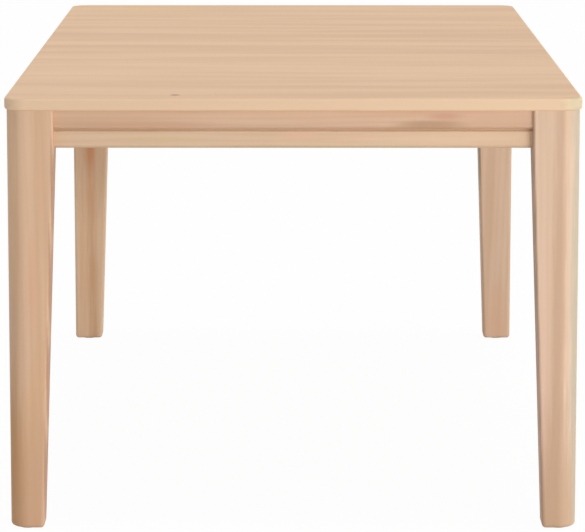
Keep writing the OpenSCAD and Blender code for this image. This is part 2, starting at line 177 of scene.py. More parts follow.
class Bench:
    """A node tree while it is being made."""

    def __init__(self, tree: bpy.types.NodeTree) -> None:
        """Takes up a tree."""
        self.tree = tree

    def feed(self, socket: bpy.types.NodeSocket, value: object) -> None:
        """Links a value to an input where it comes from a node, and writes it there otherwise.

        Args:
            socket: The input.
            value: A signal, a node whose first output counts, an output, or a plain value.
        """
        if isinstance(value, Signal):
            value = value.socket
        elif isinstance(value, bpy.types.Node):
            value = value.outputs[0]
        if isinstance(value, bpy.types.NodeSocket):
            self.tree.links.new(value, socket)
        else:
            socket.default_value = value

    def node(self, kind: str, sockets: dict | None = None, **settings: object) -> bpy.types.Node:
        """Adds a node.

        Args:
            kind: Blender's name for the type of node.
            sockets: Values or links by the name or number of the input.
            settings: Properties of the node, set before its sockets.

        Returns:
            The node.
        """
        made = self.tree.nodes.new(kind)
        for name, value in settings.items():
            setattr(made, name, value)
        for key, value in (sockets or {}).items():
            self.feed(made.inputs[key], value)
        return made

    def number(self, kind: str, sockets: dict | None = None, **settings: object) -> Signal:
        """Adds a node whose first output is a number."""
        return Signal(self, self.node(kind, sockets, **settings).outputs[0])

    def math(self, operation: str, *values: object) -> Signal:
        """Adds a Math node on the values in order."""
        return self.number("ShaderNodeMath", dict(enumerate(values)), operation=operation)

    def split(self, vector: object) -> list[Signal]:
        """Gives the three parts of a vector."""
        parts = self.node("ShaderNodeSeparateXYZ", {0: vector})
        return [Signal(self, socket) for socket in parts.outputs]

    def seen(self) -> Signal:
        """Tells the look of the camera, a gloss or glass from light on its way.

        Returns:
            1 for a look, and 0 for light.
        """
        path = self.node("ShaderNodeLightPath")
        total = path.outputs["Is Camera Ray"]
        for other in ("Is Glossy Ray", "Is Transmission Ray"):
            total = self.math("MAXIMUM", total, path.outputs[other])
        return total


class FinishBench(Bench):
    """The tree of a material while it is being made."""

    MIX_FACTOR, MIX_FIRST, MIX_SECOND, MIX_RESULT = 0, 6, 7, 2

    def __init__(self, name: str) -> None:
        """Starts an empty material.

        Args:
            name: Name of the material.
        """
        self.material = bpy.data.materials.new(name)
        self.material.use_nodes = True
        super().__init__(self.material.node_tree)
        self.tree.nodes.clear()

    def here(self) -> bpy.types.NodeSocket:
        """Gives coordinates in the table's frame."""
        return self.node("ShaderNodeTexCoord").outputs["Object"]

    def laid(self, middle: Vector, turn: Triple = (0.0, 0.0, 0.0)) -> bpy.types.Node:
        """Gives coordinates from the middle of a piece, turned."""
        back = -(Euler(turn).to_matrix() @ middle)
        return self.node("ShaderNodeMapping", {"Vector": self.here(), "Rotation": turn, "Location": back})

    def vector(self, operation: str, *values: object) -> bpy.types.Node:
        """Adds a Vector Math node on the values in order."""
        return self.node("ShaderNodeVectorMath", dict(enumerate(values)), operation=operation)

    def blend(self, factor: Signal, first: object, second: object) -> bpy.types.NodeSocket:
        """Mixes two colours.

        Args:
            factor: Share of the second colour.
            first: The first colour.
            second: The second colour.

        Returns:
            The mixed colour.
        """
        mixed = self.node("ShaderNodeMix", {
            self.MIX_FACTOR: factor, self.MIX_FIRST: first, self.MIX_SECOND: second,
        }, data_type="RGBA")
        return mixed.outputs[self.MIX_RESULT]

    def noise(self, vector: object, stretch: Triple, seed: float,
              detail: float = 2.0, roughness: float = 0.5) -> Signal:
        """Adds noise that is stretched along the axes.

        Args:
            vector: Coordinates in metres.
            stretch: Number of waves in a metre along each axis.
            seed: Place on the fourth axis, so that no two finishes are alike.
            detail: Number of finer layers.
            roughness: Strength of each finer layer against the one before.

        Returns:
            The noise, about 0.5 in the middle.
        """
        return self.number("ShaderNodeTexNoise", {
            "Vector": self.vector("MULTIPLY", vector, stretch),
            "W": seed,
            "Scale": 1.0,
            "Detail": detail,
            "Roughness": roughness,
        }, noise_dimensions="4D")

    def skin(self, colour: object, roughness: Signal, relief: Signal, depth: float,
             strength: float = 0.5, **others: float) -> bpy.types.Material:
        """Ends the material with a surface.

        Args:
            colour: Its colour.
            roughness: Its roughness.
            relief: Its relief, from 0 to 1.
            depth: Depth of the relief in metres.
            strength: Strength of the relief.
            others: Other inputs that are the same all over, with _ for each space.

        Returns:
            The finished material.
        """
        bump = self.node("ShaderNodeBump", {"Height": relief, "Distance": depth, "Strength": strength})
        plain = {name.replace("_", " "): value for name, value in others.items()}
        return self.close(self.node("ShaderNodeBsdfPrincipled", {
            "Base Color": colour, "Roughness": roughness, "Normal": bump, **plain}))

    def close(self, shader: bpy.types.Node) -> bpy.types.Material:
        """Leads a shader to the material's output and gives the material."""
        self.node("ShaderNodeOutputMaterial", {"Surface": shader})
        return self.material


# Finishes


@dataclass(frozen=True)
class Mark:
    """A knot, a stain, a darker growth line or a patch of tone in the wood, or painted shade or light laid
    on it.
    """

    place: Triple
    reach: Triple
    colour: Colour
    strength: float
    edge: float


@dataclass(frozen=True)
class WoodFinish:
    """Pale solid wood under a thin matt oil."""

    name: str
    grain: Grain
    pale: Colour
    deep: Colour
    seed: float
    marks: Sequence[Mark] = ()
    heart: tuple[float, float] = (0.06, -0.09)
    ring_pitch: float = 9 * MM
    ring_share: float = 0.22
    drift: float = 26 * MM
    streak_share: float = 0.6
    streaks_per_metre: float = 46.0
    patch_share: float = 0.16
    warm: Colour = paint(218, 172, 124)
    rosy: Colour = paint(214, 168, 144)
    stave: float = 0.0
    stave_share: float = 0.0
    fibre_share: float = 0.30
    pore_share: float = 0.10
    least_tone: float = 0.12
    ring_wander: float = 6.0
    late_wood: float = 2.2
    roughness: float = 0.56
    fibre_matt: float = 0.16
    pore_matt: float = 0.10
    ring_gloss: float = 0.05
    sheen_level: float = 0.32
    bump_depth: float = 0.12 * MM
    bump_strength: float = 0.6
    fibre_relief: float = 0.6
    pore_relief: float = 0.9
    ring_relief: float = 0.25

    STREAK_WAVES_ALONG = 1.6
    FIBRE_WAVES, PORE_WAVES = (9.0, 620.0, 620.0), (55.0, 1300.0, 1300.0)
    SWAY_WAVES, LIFT_WAVES = (1.4, 7.0, 7.0), (1.1, 5.0, 5.0)
    WARM_WAVES, ROSY_WAVES = (3.0, 26.0, 26.0), (2.4, 22.0, 22.0)
    RAGGED_WAVES, RAGGEDNESS = (14.0, 240.0, 240.0), 0.5

    def make(self, middle: Vector) -> bpy.types.Material:
        """Builds the material.

        Args:
            middle: Middle of the piece, round which the grain is laid out.

        Returns:
            The material.
        """
        bench = FinishBench(self.name)
        laid = bench.laid(middle, self.grain.value)
        rings = self._rings(bench, laid)
        streak_waves = (self.STREAK_WAVES_ALONG, self.streaks_per_metre, self.streaks_per_metre)
        streaks = bench.noise(laid, streak_waves, self.seed + 3, 2.0, 0.55).ramp(0.30, 0.70)
        fibre = bench.noise(laid, self.FIBRE_WAVES, self.seed + 5, 3.0, 0.65)
        pores = bench.noise(laid, self.PORE_WAVES, self.seed + 7, 1.0).ramp(0.60, 0.74)
        dark = rings * self.ring_share + streaks * self.streak_share
        dark = dark + (fibre - 0.5) * self.fibre_share + pores * self.pore_share + self.least_tone
        if self.stave:
            dark = dark + self._staves(bench, laid)
        colour = bench.blend(dark.ramp(0.0, 1.0), self.pale, self.deep)
        warm = bench.noise(laid, self.WARM_WAVES, self.seed + 11, 1.0).ramp(0.48, 0.72)
        rosy = bench.noise(laid, self.ROSY_WAVES, self.seed + 13, 1.0).ramp(0.50, 0.74)
        colour = bench.blend(warm * self.patch_share, colour, self.warm)
        colour = bench.blend(rosy * self.patch_share, colour, self.rosy)
        here = bench.here()
        # The marks go on last: knots and tone, and also painted shade and light.
        for mark in self.marks:
            colour = bench.blend(self._cover(bench, here, laid, mark), colour, mark.colour)
        matt = (fibre - 0.5) * self.fibre_matt + pores * self.pore_matt - rings * self.ring_gloss
        relief = fibre * self.fibre_relief - pores * self.pore_relief - rings * self.ring_relief
        return bench.skin(colour, matt + self.roughness, relief, self.bump_depth, self.bump_strength,
                          Specular_IOR_Level=self.sheen_level)

    def _rings(self, bench: FinishBench, laid: bpy.types.Node) -> Signal:
        """Cuts growth rings round the heart of the tree.

        Args:
            bench: The material.
            laid: Coordinates with the grain along X.

        Returns:
            The late wood, from 0 to 1.
        """
        _, across, depth = bench.split(laid)
        sway = bench.noise(laid, self.SWAY_WAVES, self.seed)
        lift = bench.noise(laid, self.LIFT_WAVES, self.seed + 1)
        if self.stave:
            stave = bench.math("FLOOR", across / self.stave)
            across = across - (stave + 0.5) * self.stave
        across = across + (sway - 0.5) * self.drift - self.heart[0]
        depth = depth + (lift - 0.5) * self.drift - self.heart[1]
        radius = bench.math("SQRT", across * across + depth * depth)
        turns = radius * (FULL_TURN / self.ring_pitch) + (sway + lift) * self.ring_wander
        return (bench.math("SINE", turns) * 0.5 + 0.5) ** self.late_wood

    def _staves(self, bench: FinishBench, laid: bpy.types.Node) -> Signal:
        """Gives each stave of a glued board its own tone.

        Args:
            bench: The material.
            laid: Coordinates with the grain along X.

        Returns:
            The tone, 0 in the middle.
        """
        stave = bench.math("FLOOR", bench.split(laid)[1] / self.stave)
        tone = bench.number("ShaderNodeTexWhiteNoise", {"W": stave + self.seed}, noise_dimensions="1D")
        return (tone - 0.5) * self.stave_share

    def _cover(self, bench: FinishBench, here: bpy.types.NodeSocket, laid: bpy.types.Node,
               mark: Mark) -> Signal:
        """Tells how much a mark covers.

        Args:
            bench: The material.
            here: Coordinates in the table's frame.
            laid: Coordinates with the grain along X.
            mark: The mark.

        Returns:
            The cover, 0 past the mark's ragged edge.
        """
        offset = bench.vector("DIVIDE", bench.vector("SUBTRACT", here, mark.place), mark.reach)
        distance = Signal(bench, bench.vector("LENGTH", offset).outputs["Value"])
        grit = bench.noise(laid, self.RAGGED_WAVES, mark.place[0])
        ragged = distance + (grit - 0.5) * self.RAGGEDNESS
        return ragged.ramp(1.0, 1.0 - mark.edge) * mark.strength


@dataclass(frozen=True)
class ZincFinish:
    """Bright zinc on steel, with a faint cloud and a fine drawn texture."""

    name: str
    colour: Colour = paint(198, 201, 204)
    shade: Colour = paint(164, 168, 172)
    roughness: float = 0.34
    cloud_matt: float = 0.2
    bump_depth: float = 0.02 * MM
    slot: str = "zinc_steel"

    CLOUD_WAVES, DRAWN_WAVES = (90.0, 90.0, 90.0), (900.0, 900.0, 140.0)

    def make(self, middle: Vector) -> bpy.types.Material:
        """Builds the material.

        Args:
            middle: Middle of the piece.

        Returns:
            The material.
        """
        bench = FinishBench(self.name)
        laid = bench.laid(middle)
        cloud = bench.noise(laid, self.CLOUD_WAVES, 2.0, 4.0)
        drawn = bench.noise(laid, self.DRAWN_WAVES, 5.0)
        colour = bench.blend(cloud.ramp(0.35, 0.7), self.colour, self.shade)
        roughness = self.roughness + (cloud - 0.5) * self.cloud_matt
        return bench.skin(colour, roughness, drawn, self.bump_depth, Metallic=1.0)


@dataclass(frozen=True)
class NylonFinish:
    """Milky nylon of the glides, scuffed where it stands on the floor."""

    name: str
    colour: Colour = paint(232, 228, 216)
    scuff: Colour = paint(196, 190, 176)
    scuff_height: float = 1.2 * MM
    roughness: float = 0.48
    scuff_matt: float = 0.2
    grit_matt: float = 0.1
    bump_depth: float = 0.03 * MM
    slot: str = "nylon"

    GRIT_WAVES = (700.0, 700.0, 700.0)

    def make(self, middle: Vector) -> bpy.types.Material:
        """Builds the material.

        Args:
            middle: Middle of the piece, which the nylon has no need of.

        Returns:
            The material.
        """
        bench = FinishBench(self.name)
        here = bench.here()
        grit = bench.noise(here, self.GRIT_WAVES, 1.0, 4.0)
        low = bench.split(here)[2].ramp(self.scuff_height, 0.0)
        colour = bench.blend(low * grit, self.colour, self.scuff)
        roughness = self.roughness + low * self.scuff_matt + (grit - 0.5) * self.grit_matt
        return bench.skin(colour, roughness, grit, self.bump_depth)


# Geometry trees


class Ask(Enum):
    """Kinds of input that a geometry tree asks for."""

    NUMBER = "NodeSocketFloat"
    COUNT = "NodeSocketInt"
    VECTOR = "NodeSocketVector"
    MATERIAL = "NodeSocketMaterial"
    OBJECT = "NodeSocketObject"


@dataclass(frozen=True)
class Corner:
    """A corner of a section, with the radius of its rounding."""

    across: float
    height: float
    radius: float = 0.0


@dataclass(frozen=True)
class Place:
    """Where one of several equal parts stands, and how it is turned."""

    spot: Vector
    turn: Euler


class Recipe(Bench):
    """A Geometry Nodes tree with named inputs for its sizes."""

    HOST = "Host"
    RADIUS = "radius"
    TURN = "turn"
    SHARP_ANGLE = math.radians(38)
    WELD = 0.002 * MM

    def __init__(self, name: str) -> None:
        """Starts an empty tree.

        Args:
            name: Name of the tree.
        """
        super().__init__(bpy.data.node_groups.new(name, "GeometryNodeTree"))
        self.tree.interface.new_socket("Piece", in_out="OUTPUT", socket_type="NodeSocketGeometry")
        self.tree.interface.new_socket(self.HOST, in_out="INPUT", socket_type="NodeSocketGeometry")
        self.identifiers: dict[str, str] = {}

    def ask(self, kind: Ask, *names: str) -> list[Signal]:
        """Adds named inputs.

        Args:
            kind: What they hold.
            names: Their names.

        Returns:
            Their values inside the tree.
        """
        for name in names:
            item = self.tree.interface.new_socket(name, in_out="INPUT", socket_type=kind.value)
            self.identifiers[name] = item.identifier
        given = self.node("NodeGroupInput")
        return [Signal(self, given.outputs[name]) for name in names]

    def at(self, **parts: object) -> bpy.types.Node:
        """Joins numbers to a vector, by the axes on which it isn't zero."""
        return self.node("ShaderNodeCombineXYZ", parts)

    def moved(self, geometry: object, way: object) -> bpy.types.Node:
        """Moves a geometry."""
        return self.node("GeometryNodeTransform", {"Geometry": geometry, "Translation": way})

    def weld(self, *parts: object) -> bpy.types.Node:
        """Joins meshes, the first part first, and their points that lie on each other.

        Args:
            parts: The meshes.

        Returns:
            All of them as one.
        """
        joined = self.node("GeometryNodeJoinGeometry")
        for part in reversed(parts):
            self.feed(joined.inputs[0], part)
        return self.node("GeometryNodeMergeByDistance", {"Geometry": joined, "Distance": self.WELD})

    def sweep(self, line: object, section: object, caps: bool = False) -> bpy.types.Node:
        """Leads a section along a line."""
        return self.node("GeometryNodeCurveToMesh", {
            "Curve": line, "Profile Curve": section, "Fill Caps": caps})

    def section(self) -> bpy.types.Node:
        """Rounds the corners of the host's outline, each by its own radius.

        The outline is turned by half a turn, because a sweep lays the section's height
        downwards. Across then leads to the left of the way that the sweep goes.

        Returns:
            The outline as a curve.
        """
        (steps,) = self.ask(Ask.COUNT, "Steps")
        own = self.node("GeometryNodeInputNamedAttribute", {"Name": self.RADIUS}, data_type="FLOAT")
        host = self.node("NodeGroupInput").outputs[self.HOST]
        line = self.node("GeometryNodeMeshToCurve", {"Mesh": host})
        rounded = self.node("GeometryNodeFilletCurve", {
            "Curve": line, "Count": steps, "Radius": own}, mode="POLY")
        return self.node("GeometryNodeTransform", {"Geometry": rounded, "Rotation": (0.0, 0.0, math.pi)})

    def stand(self, part: object) -> bpy.types.Node:
        """Puts a part that is made at the origin on each of its places.

        Args:
            part: The part.

        Returns:
            The parts.
        """
        (places,) = self.ask(Ask.OBJECT, "Places")
        spots = self.node("GeometryNodeObjectInfo", {"Object": places}).outputs["Geometry"]
        own = self.node("GeometryNodeInputNamedAttribute", {"Name": self.TURN}, data_type="FLOAT_VECTOR")
        turn = self.node("FunctionNodeEulerToRotation", {0: own})
        return self.node("GeometryNodeInstanceOnPoints", {
            "Points": spots, "Instance": part, "Rotation": turn})

    def close(self, geometry: object) -> "Recipe":
        """Ends the tree: real meshes, smooth but for their arrises, with their material.

        Args:
            geometry: What the tree has made.

        Returns:
            The finished tree.
        """
        (material,) = self.ask(Ask.MATERIAL, "Material")
        real = self.node("GeometryNodeRealizeInstances", {"Geometry": geometry})
        smooth = self.node("GeometryNodeSetShadeSmooth", {
            "Geometry": real, "Shade Smooth": True}, domain="FACE")
        angle = self.number("GeometryNodeInputMeshEdgeAngle")
        arris = self.math("GREATER_THAN", angle, self.SHARP_ANGLE)
        edged = self.node("GeometryNodeSetShadeSmooth", {
            "Geometry": smooth, "Selection": arris, "Shade Smooth": False}, domain="EDGE")
        dressed = self.node("GeometryNodeSetMaterial", {"Geometry": edged, "Material": material})
        self.node("NodeGroupOutput", {0: dressed})
        return self

    def grow(self, name: str, host: bpy.types.Mesh, values: dict[str, object],
             places: Sequence[Place] = ()) -> bpy.types.Object:
        """Runs the tree and keeps its result as a plain mesh.

        Args:
            name: Name of the piece.
            host: Mesh that the tree starts from.
            values: Value of each named input but the places.
            places: Where the part is repeated.

        Returns:
            The piece, with its place in its mesh and no modifier.
        """
        piece = place_object(name, host)
        modifier = piece.modifiers.new(self.tree.name, "NODES")
        modifier.node_group = self.tree
        for label, value in values.items():
            modifier[self.identifiers[label]] = value
        if places:
            spots = place_object(f"{name}_places", places_mesh(name, places))
            modifier[self.identifiers["Places"]] = spots
        settle_mesh(piece)
        if places:
            bpy.data.objects.remove(spots)
        return piece


def outline_mesh(name: str, corners: Sequence[Corner], closed: bool = True) -> bpy.types.Mesh:
    """Makes the outline of a section, with the radius of each corner beside it.

    Args:
        name: Name of the mesh.
        corners: Its corners in order.
        closed: Whether the last corner joins the first.

    Returns:
        A mesh of points and edges.
    """
    count = len(corners)
    mesh = bpy.data.meshes.new(name)
    edges = [(index, (index + 1) % count) for index in range(count if closed else count - 1)]
    mesh.from_pydata([(corner.across, corner.height, 0) for corner in corners], edges, [])
    radii = mesh.attributes.new(Recipe.RADIUS, "FLOAT", "POINT")
    radii.data.foreach_set("value", [corner.radius for corner in corners])
    return mesh


def places_mesh(name: str, places: Sequence[Place]) -> bpy.types.Mesh:
    """Makes the points that equal parts stand on, each with its turn.

    Args:
        name: Name of the mesh.
        places: The places.

    Returns:
        A mesh of loose points.
    """
    mesh = bpy.data.meshes.new(f"{name}_places")
    mesh.from_pydata([place.spot for place in places], [], [])
    turns = mesh.attributes.new(Recipe.TURN, "FLOAT_VECTOR", "POINT")
    turns.data.foreach_set("vector", [angle for place in places for angle in place.turn])
    return mesh


def swept_recipe() -> Recipe:
    """Builds the tree of a rounded section that runs along X and is set on its places.

    Returns:
        The tree.
    """
    recipe = Recipe("swept_section")
    (length,) = recipe.ask(Ask.NUMBER, "Length")
    line = recipe.node("GeometryNodeCurvePrimitiveLine", {
        "Start": recipe.at(X=length * -0.5), "End": recipe.at(X=length * 0.5)})
    return recipe.close(recipe.stand(recipe.weld(recipe.sweep(line, recipe.section(), True))))


def turned_recipe() -> Recipe:
    """Builds the tree of a turned part, with flats and a cross recess where it asks for them.

    The section is led round a ring of constant size, so that its distance from the axis comes
    out as it was drawn. Six flats cut the part back to a width across flats.

    Returns:
        The tree.
    """
    recipe = Recipe("turned_part")
    (sides,) = recipe.ask(Ask.COUNT, "Sides")
    flats, cross_length, cross_width, cross_floor = recipe.ask(
        Ask.NUMBER, "Across flats", "Cross length", "Cross width", "Cross floor")
    ring_radius = 50 * MM
    ring = recipe.node("GeometryNodeCurvePrimitiveCircle", {"Resolution": sides, "Radius": ring_radius})
    section = recipe.node("GeometryNodeSetPosition", {
        "Geometry": recipe.section(), "Offset": (ring_radius, 0.0, 0.0)})
    clockwise = recipe.node("GeometryNodeReverseCurve", {"Curve": ring})
    body = recipe.weld(recipe.sweep(clockwise, section))

    x, y, z = recipe.split(recipe.node("GeometryNodeInputPosition"))
    sector = math.pi / 3
    angle = recipe.math("ARCTAN2", y, x) + sector / 2
    angle = recipe.math("FLOORED_MODULO", angle, sector) - sector / 2
    limit = flats * 0.5 / recipe.math("COSINE", angle) + recipe.math("LESS_THAN", flats, Recipe.WELD)
    radius = recipe.math("SQRT", x * x + y * y)
    share = recipe.math("MINIMUM", radius, limit) / recipe.math("MAXIMUM", radius, Recipe.WELD)
    cut = recipe.node("GeometryNodeSetPosition", {
        "Geometry": body, "Position": recipe.at(X=x * share, Y=y * share, Z=z)})

    recessed = cut
    for size in (recipe.at(X=cross_length, Y=cross_width, Z=cross_length),
                 recipe.at(X=cross_width, Y=cross_length, Z=cross_length)):
        blade = recipe.node("GeometryNodeMeshCube", {"Size": size})
        set_in = recipe.moved(blade, recipe.at(Z=cross_floor + cross_length * 0.5))
        recessed = recipe.node("GeometryNodeMeshBoolean", {
            "Mesh 1": recessed, "Mesh 2": set_in}, operation="DIFFERENCE", solver="EXACT")
    wanted = recipe.node("GeometryNodeSwitch", {
        "Switch": recipe.math("GREATER_THAN", cross_length, 0.0), "False": cut, "True": recessed,
    }, input_type="GEOMETRY")
    return recipe.close(recipe.stand(wanted))


def slab_recipe() -> Recipe:
    """Builds the tree of a slab: a rounded rim that follows its outline, and two flat faces.

    Returns:
        The tree.
    """
    recipe = Recipe("slab")
    width, length, thickness, corner, edge = recipe.ask(
        Ask.NUMBER, "Width", "Length", "Thickness", "Corner radius", "Edge radius")
    (corner_steps,) = recipe.ask(Ask.COUNT, "Corner steps")
    (middle,) = recipe.ask(Ask.VECTOR, "Middle")
    flat = recipe.node("GeometryNodeCurvePrimitiveQuadrilateral", {
        "Width": width - edge * 2.0, "Height": length - edge * 2.0})
    outline = recipe.node("GeometryNodeFilletCurve", {
        "Curve": flat, "Count": corner_steps, "Radius": corner - edge}, mode="POLY")
    clockwise = recipe.node("GeometryNodeReverseCurve", {"Curve": outline})
    rim = recipe.sweep(clockwise, recipe.section())
    face = recipe.node("GeometryNodeFillCurve", {"Curve": outline}, mode="NGONS")
    upper = recipe.moved(face, recipe.at(Z=thickness * 0.5))
    lower = recipe.moved(face, recipe.at(Z=thickness * -0.5))
    under = recipe.node("GeometryNodeFlipFaces", {"Mesh": lower})
    return recipe.close(recipe.moved(recipe.weld(rim, upper, under), middle))


# Pieces


def place_object(name: str, data: bpy.types.ID) -> bpy.types.Object:
    """Links a mesh, a light or a camera to the scene as an object at the origin.

    Args:
        name: Name of the object.
        data: What it shows.

    Returns:
        The object.
    """
    made = bpy.data.objects.new(name, data)
    bpy.context.scene.collection.objects.link(made)
    return made


def settle_mesh(piece: bpy.types.Object) -> None:
    """Turns a piece with its modifiers into a plain mesh, with normals that favour wide faces.

    Args:
        piece: The piece, whose modifiers are removed.
    """
    even = piece.modifiers.new("even_normals", "WEIGHTED_NORMAL")
    even.keep_sharp = True
    graph = bpy.context.evaluated_depsgraph_get()
    mesh = bpy.data.meshes.new_from_object(piece.evaluated_get(graph))
    mesh.name = piece.name
    piece.modifiers.clear()
    piece.data = mesh


def finish_piece(piece: bpy.types.Object, slot: str, *nodes: str) -> bpy.types.Object:
    """Fixes a piece to the table in place of its CAD nodes.

    Args:
        piece: The piece.
        slot: Material slot of the record, which is not used.
        nodes: CAD nodes that it stands for.

    Returns:
        The piece.
    """
    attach(piece, BODY)
    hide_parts(*nodes)
    return piece


def node_middle(node: str) -> Vector:
    """Gives the middle of a CAD node's box."""
    low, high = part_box(node)
    return (low + high) / 2


def dress_node(node: str, finish: WoodFinish) -> bpy.types.Object:
    """Gives a CAD node that is shown as it is a finer material.

    Args:
        node: Name of the node.
        finish: Its finish.

    Returns:
        The node's object.
    """
    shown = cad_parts[node]
    material = finish.make(node_middle(node))
    shown.data.materials.clear()
    shown.data.materials.append(material)
    return shown


# The table


@dataclass(frozen=True)
class Frame:
    """Sizes that the legs, boards, blocks and fittings of the underframe share."""

    face_x: float = 496 * MM
    face_y: float = 996 * MM
    leg_width: float = 82 * MM
    foot_width: float = 60 * MM
    under_z: float = 738 * MM
    split_z: float = 705.5 * MM
    gap: float = 0.5 * MM
    bottom_z: float = 672 * MM
    upper_in: float = 8 * MM
    lower_in: float = 16 * MM
    inner_in: float = 36 * MM

    def row_middles(self) -> tuple[float, float]:
        """Gives the heights of the middles of the two rows of boards."""
        return (self.split_z + self.under_z) / 2, (self.bottom_z + self.split_z - self.gap) / 2


FRAME = Frame()
CORNERS = [(side, end) for end in End for side in Side]
MARK_DEPTH = 0.03
STREAK_EDGE = 0.75


def corner_name(side: Side, end: End) -> str:
    """Gives the name of a corner of the table as the CAD nodes have it."""
    return f"{end.name.lower()}_{side.name.lower()}"


def in_corner(side: Side, end: End, inward_x: float, inward_y: float, height: float) -> Vector:
    """Gives a point by its distances in from the outer faces of a leg and its height."""
    return Vector((side.value * (FRAME.face_x - inward_x), end.value * (FRAME.face_y - inward_y), height))


def facing(x: float, y: float, z: float) -> Euler:
    """Gives the turn that brings the Z axis of a part to a direction."""
    return Vector((x, y, z)).to_track_quat("Z", "Y").to_euler()


class Wall(Enum):
    """A side of the table, as the turn that brings a part made for the front end to it."""

    FRONT = 0.0
    RIGHT = QUARTER_TURN
    BACK = 2 * QUARTER_TURN
    LEFT = -QUARTER_TURN

    @property
    def lengthwise(self) -> bool:
        """Tells whether the wall runs along the table."""
        return self in (Wall.LEFT, Wall.RIGHT)

    @property
    def length(self) -> float:
        """Gives the length of its boards, from leg to leg."""
        return 2 * ((FRAME.face_y if self.lengthwise else FRAME.face_x) - FRAME.leg_width)

    def place(self, shift: float = 0.0, inward: float = 0.0, height: float = 0.0) -> Place:
        """Gives a place on the wall.

        Args:
            shift: Distance from its middle, along it.
            inward: Distance in from the outer faces of the legs.
            height: Height above the floor.

        Returns:
            The place of a part that is made along X with its outer side towards -Y.
        """
        out = FRAME.face_x if self.lengthwise else FRAME.face_y
        turn = Euler((0.0, 0.0, self.value))
        return Place(turn.to_matrix() @ Vector((shift, inward - out, height)), turn)

    def mark(self, shift: float, inward: float, height: float, length: float, rise: float,
             colour: Colour, strength: float, edge: float) -> Mark:
        """Describes a mark that runs along a board of the wall.

        Args:
            shift: Distance of its middle from the middle of the wall.
            inward: Distance in from the outer faces of the legs.
            height: Height of its middle.
            length: Half its length.
            rise: Half its height.
            colour: Its colour.
            strength: Its strongest cover.
            edge: Share of its reach over which it fades.

        Returns:
            The mark.
        """
        reach = (MARK_DEPTH, length, rise) if self.lengthwise else (length, MARK_DEPTH, rise)
        return Mark(tuple(self.place(shift, inward, height).spot), reach, colour, strength, edge)


@dataclass
class TableTop:
    """The top: one slab of glued staves with rounded corners and softened edges."""

    width: float = 1000 * MM
    length: float = 2000 * MM
    thickness: float = 22 * MM
    corner_radius: float = 38 * MM
    edge_radius: float = 5 * MM
    corner_steps: int = 14
    edge_steps: int = 7
    knot: Mark = Mark((-0.205, -0.944, 0.760), (0.011, 0.015, 0.012), paint(160, 118, 86), 0.8, 0.6)
    far_patch: Mark = Mark((-0.36, 0.94, 0.760), (0.26, 0.18, 0.012), paint(238, 196, 136), 0.35, 0.9)
    near_edge: Mark = Mark((0.0, -1.002, 0.749), (4.0, 0.008, 0.030), paint(231, 199, 166), 0.9, 0.6)
    # Painted light on the near corners: the right one is greyed to temper its highlight, and the left one,
    # turned away from the lamps, is lightened.
    right_corner: Mark = Mark((0.50, -0.99, 0.749), (0.05, 0.03, 0.025), paint(202, 188, 154), 0.9, 0.7)
    left_corner: Mark = Mark((-0.50, -0.99, 0.749), (0.05, 0.03, 0.025), paint(244, 212, 178), 0.8, 0.7)

    def finish(self) -> WoodFinish:
        """Gives the finish of the top, glued up from staves that run across it."""
        return WoodFinish(
            "top_staves", Grain.ACROSS, paint(241, 202, 162), paint(229, 187, 147), 4.0,
            (self.knot, self.far_patch, self.near_edge, self.right_corner, self.left_corner),
            stave=92 * MM, stave_share=0.42, ring_share=0.14,
            streak_share=0.65, streaks_per_metre=13.0, patch_share=0.06)

    def build(self) -> Iterator[bpy.types.Object]:
        """Makes the top.

        Yields:
            The finished piece.
        """
        middle = node_middle("tabletop")
        half, edge = self.thickness / 2, self.edge_radius
        rim = (Corner(0, -half), Corner(edge, -half, edge), Corner(edge, half, edge), Corner(0, half))
        piece = slab_recipe().grow("top_slab", outline_mesh("rim", rim, closed=False), {
            "Width": self.width,
            "Length": self.length,
            "Thickness": self.thickness,
            "Corner radius": self.corner_radius,
            "Edge radius": self.edge_radius,
            "Corner steps": self.corner_steps,
            "Steps": self.edge_steps,
            "Middle": middle,
            "Material": self.finish().make(middle),
        })
        yield finish_piece(piece, "top_wood", "tabletop")


def leg_streak(x: float, y: float, z: float, half_width: float, half_length: float,
               colour: Colour, strength: float) -> Mark:
    """Describes a soft upright streak of another colour on the outer face of a leg, either wood tone or
    painted shade and light.
    """
    return Mark((x, y, z), (half_width, MARK_DEPTH, half_length), colour, strength, STREAK_EDGE)


def slanted_line(low: Triple, high: Triple, half_width: float, colour: Colour, strength: float,
                 edge: float = 0.5, steps: int = 3) -> Iterator[Mark]:
    """Describes a line of another colour that leans with the taper of a leg, such as painted shade on a
    leg's inner face.

    Args:
        low: Lower end of the line.
        high: Upper end of the line.
        half_width: Half its width.
        colour: Its colour.
        strength: Its strongest cover.
        edge: Share of its width over which it fades.
        steps: Number of marks that make it up.

    Yields:
        The marks from the foot up.
    """
    half_depth = 0.09
    start, reach = Vector(low), Vector(high) - Vector(low)
    for step in range(steps):
        spot = start + reach * ((step + 0.5) / steps)
        yield Mark(tuple(spot), (half_width, half_depth, reach.z / steps), colour, strength, edge)


def leg_wood(name: str, pale: Colour, deep: Colour, seed: float, patch_share: float,
             *marks: Mark) -> WoodFinish:
    """Gives the finish of a leg, whose fibres run upright."""
    return WoodFinish(f"leg_{name}_wood", Grain.UPRIGHT, pale, deep, seed, marks, patch_share=patch_share)


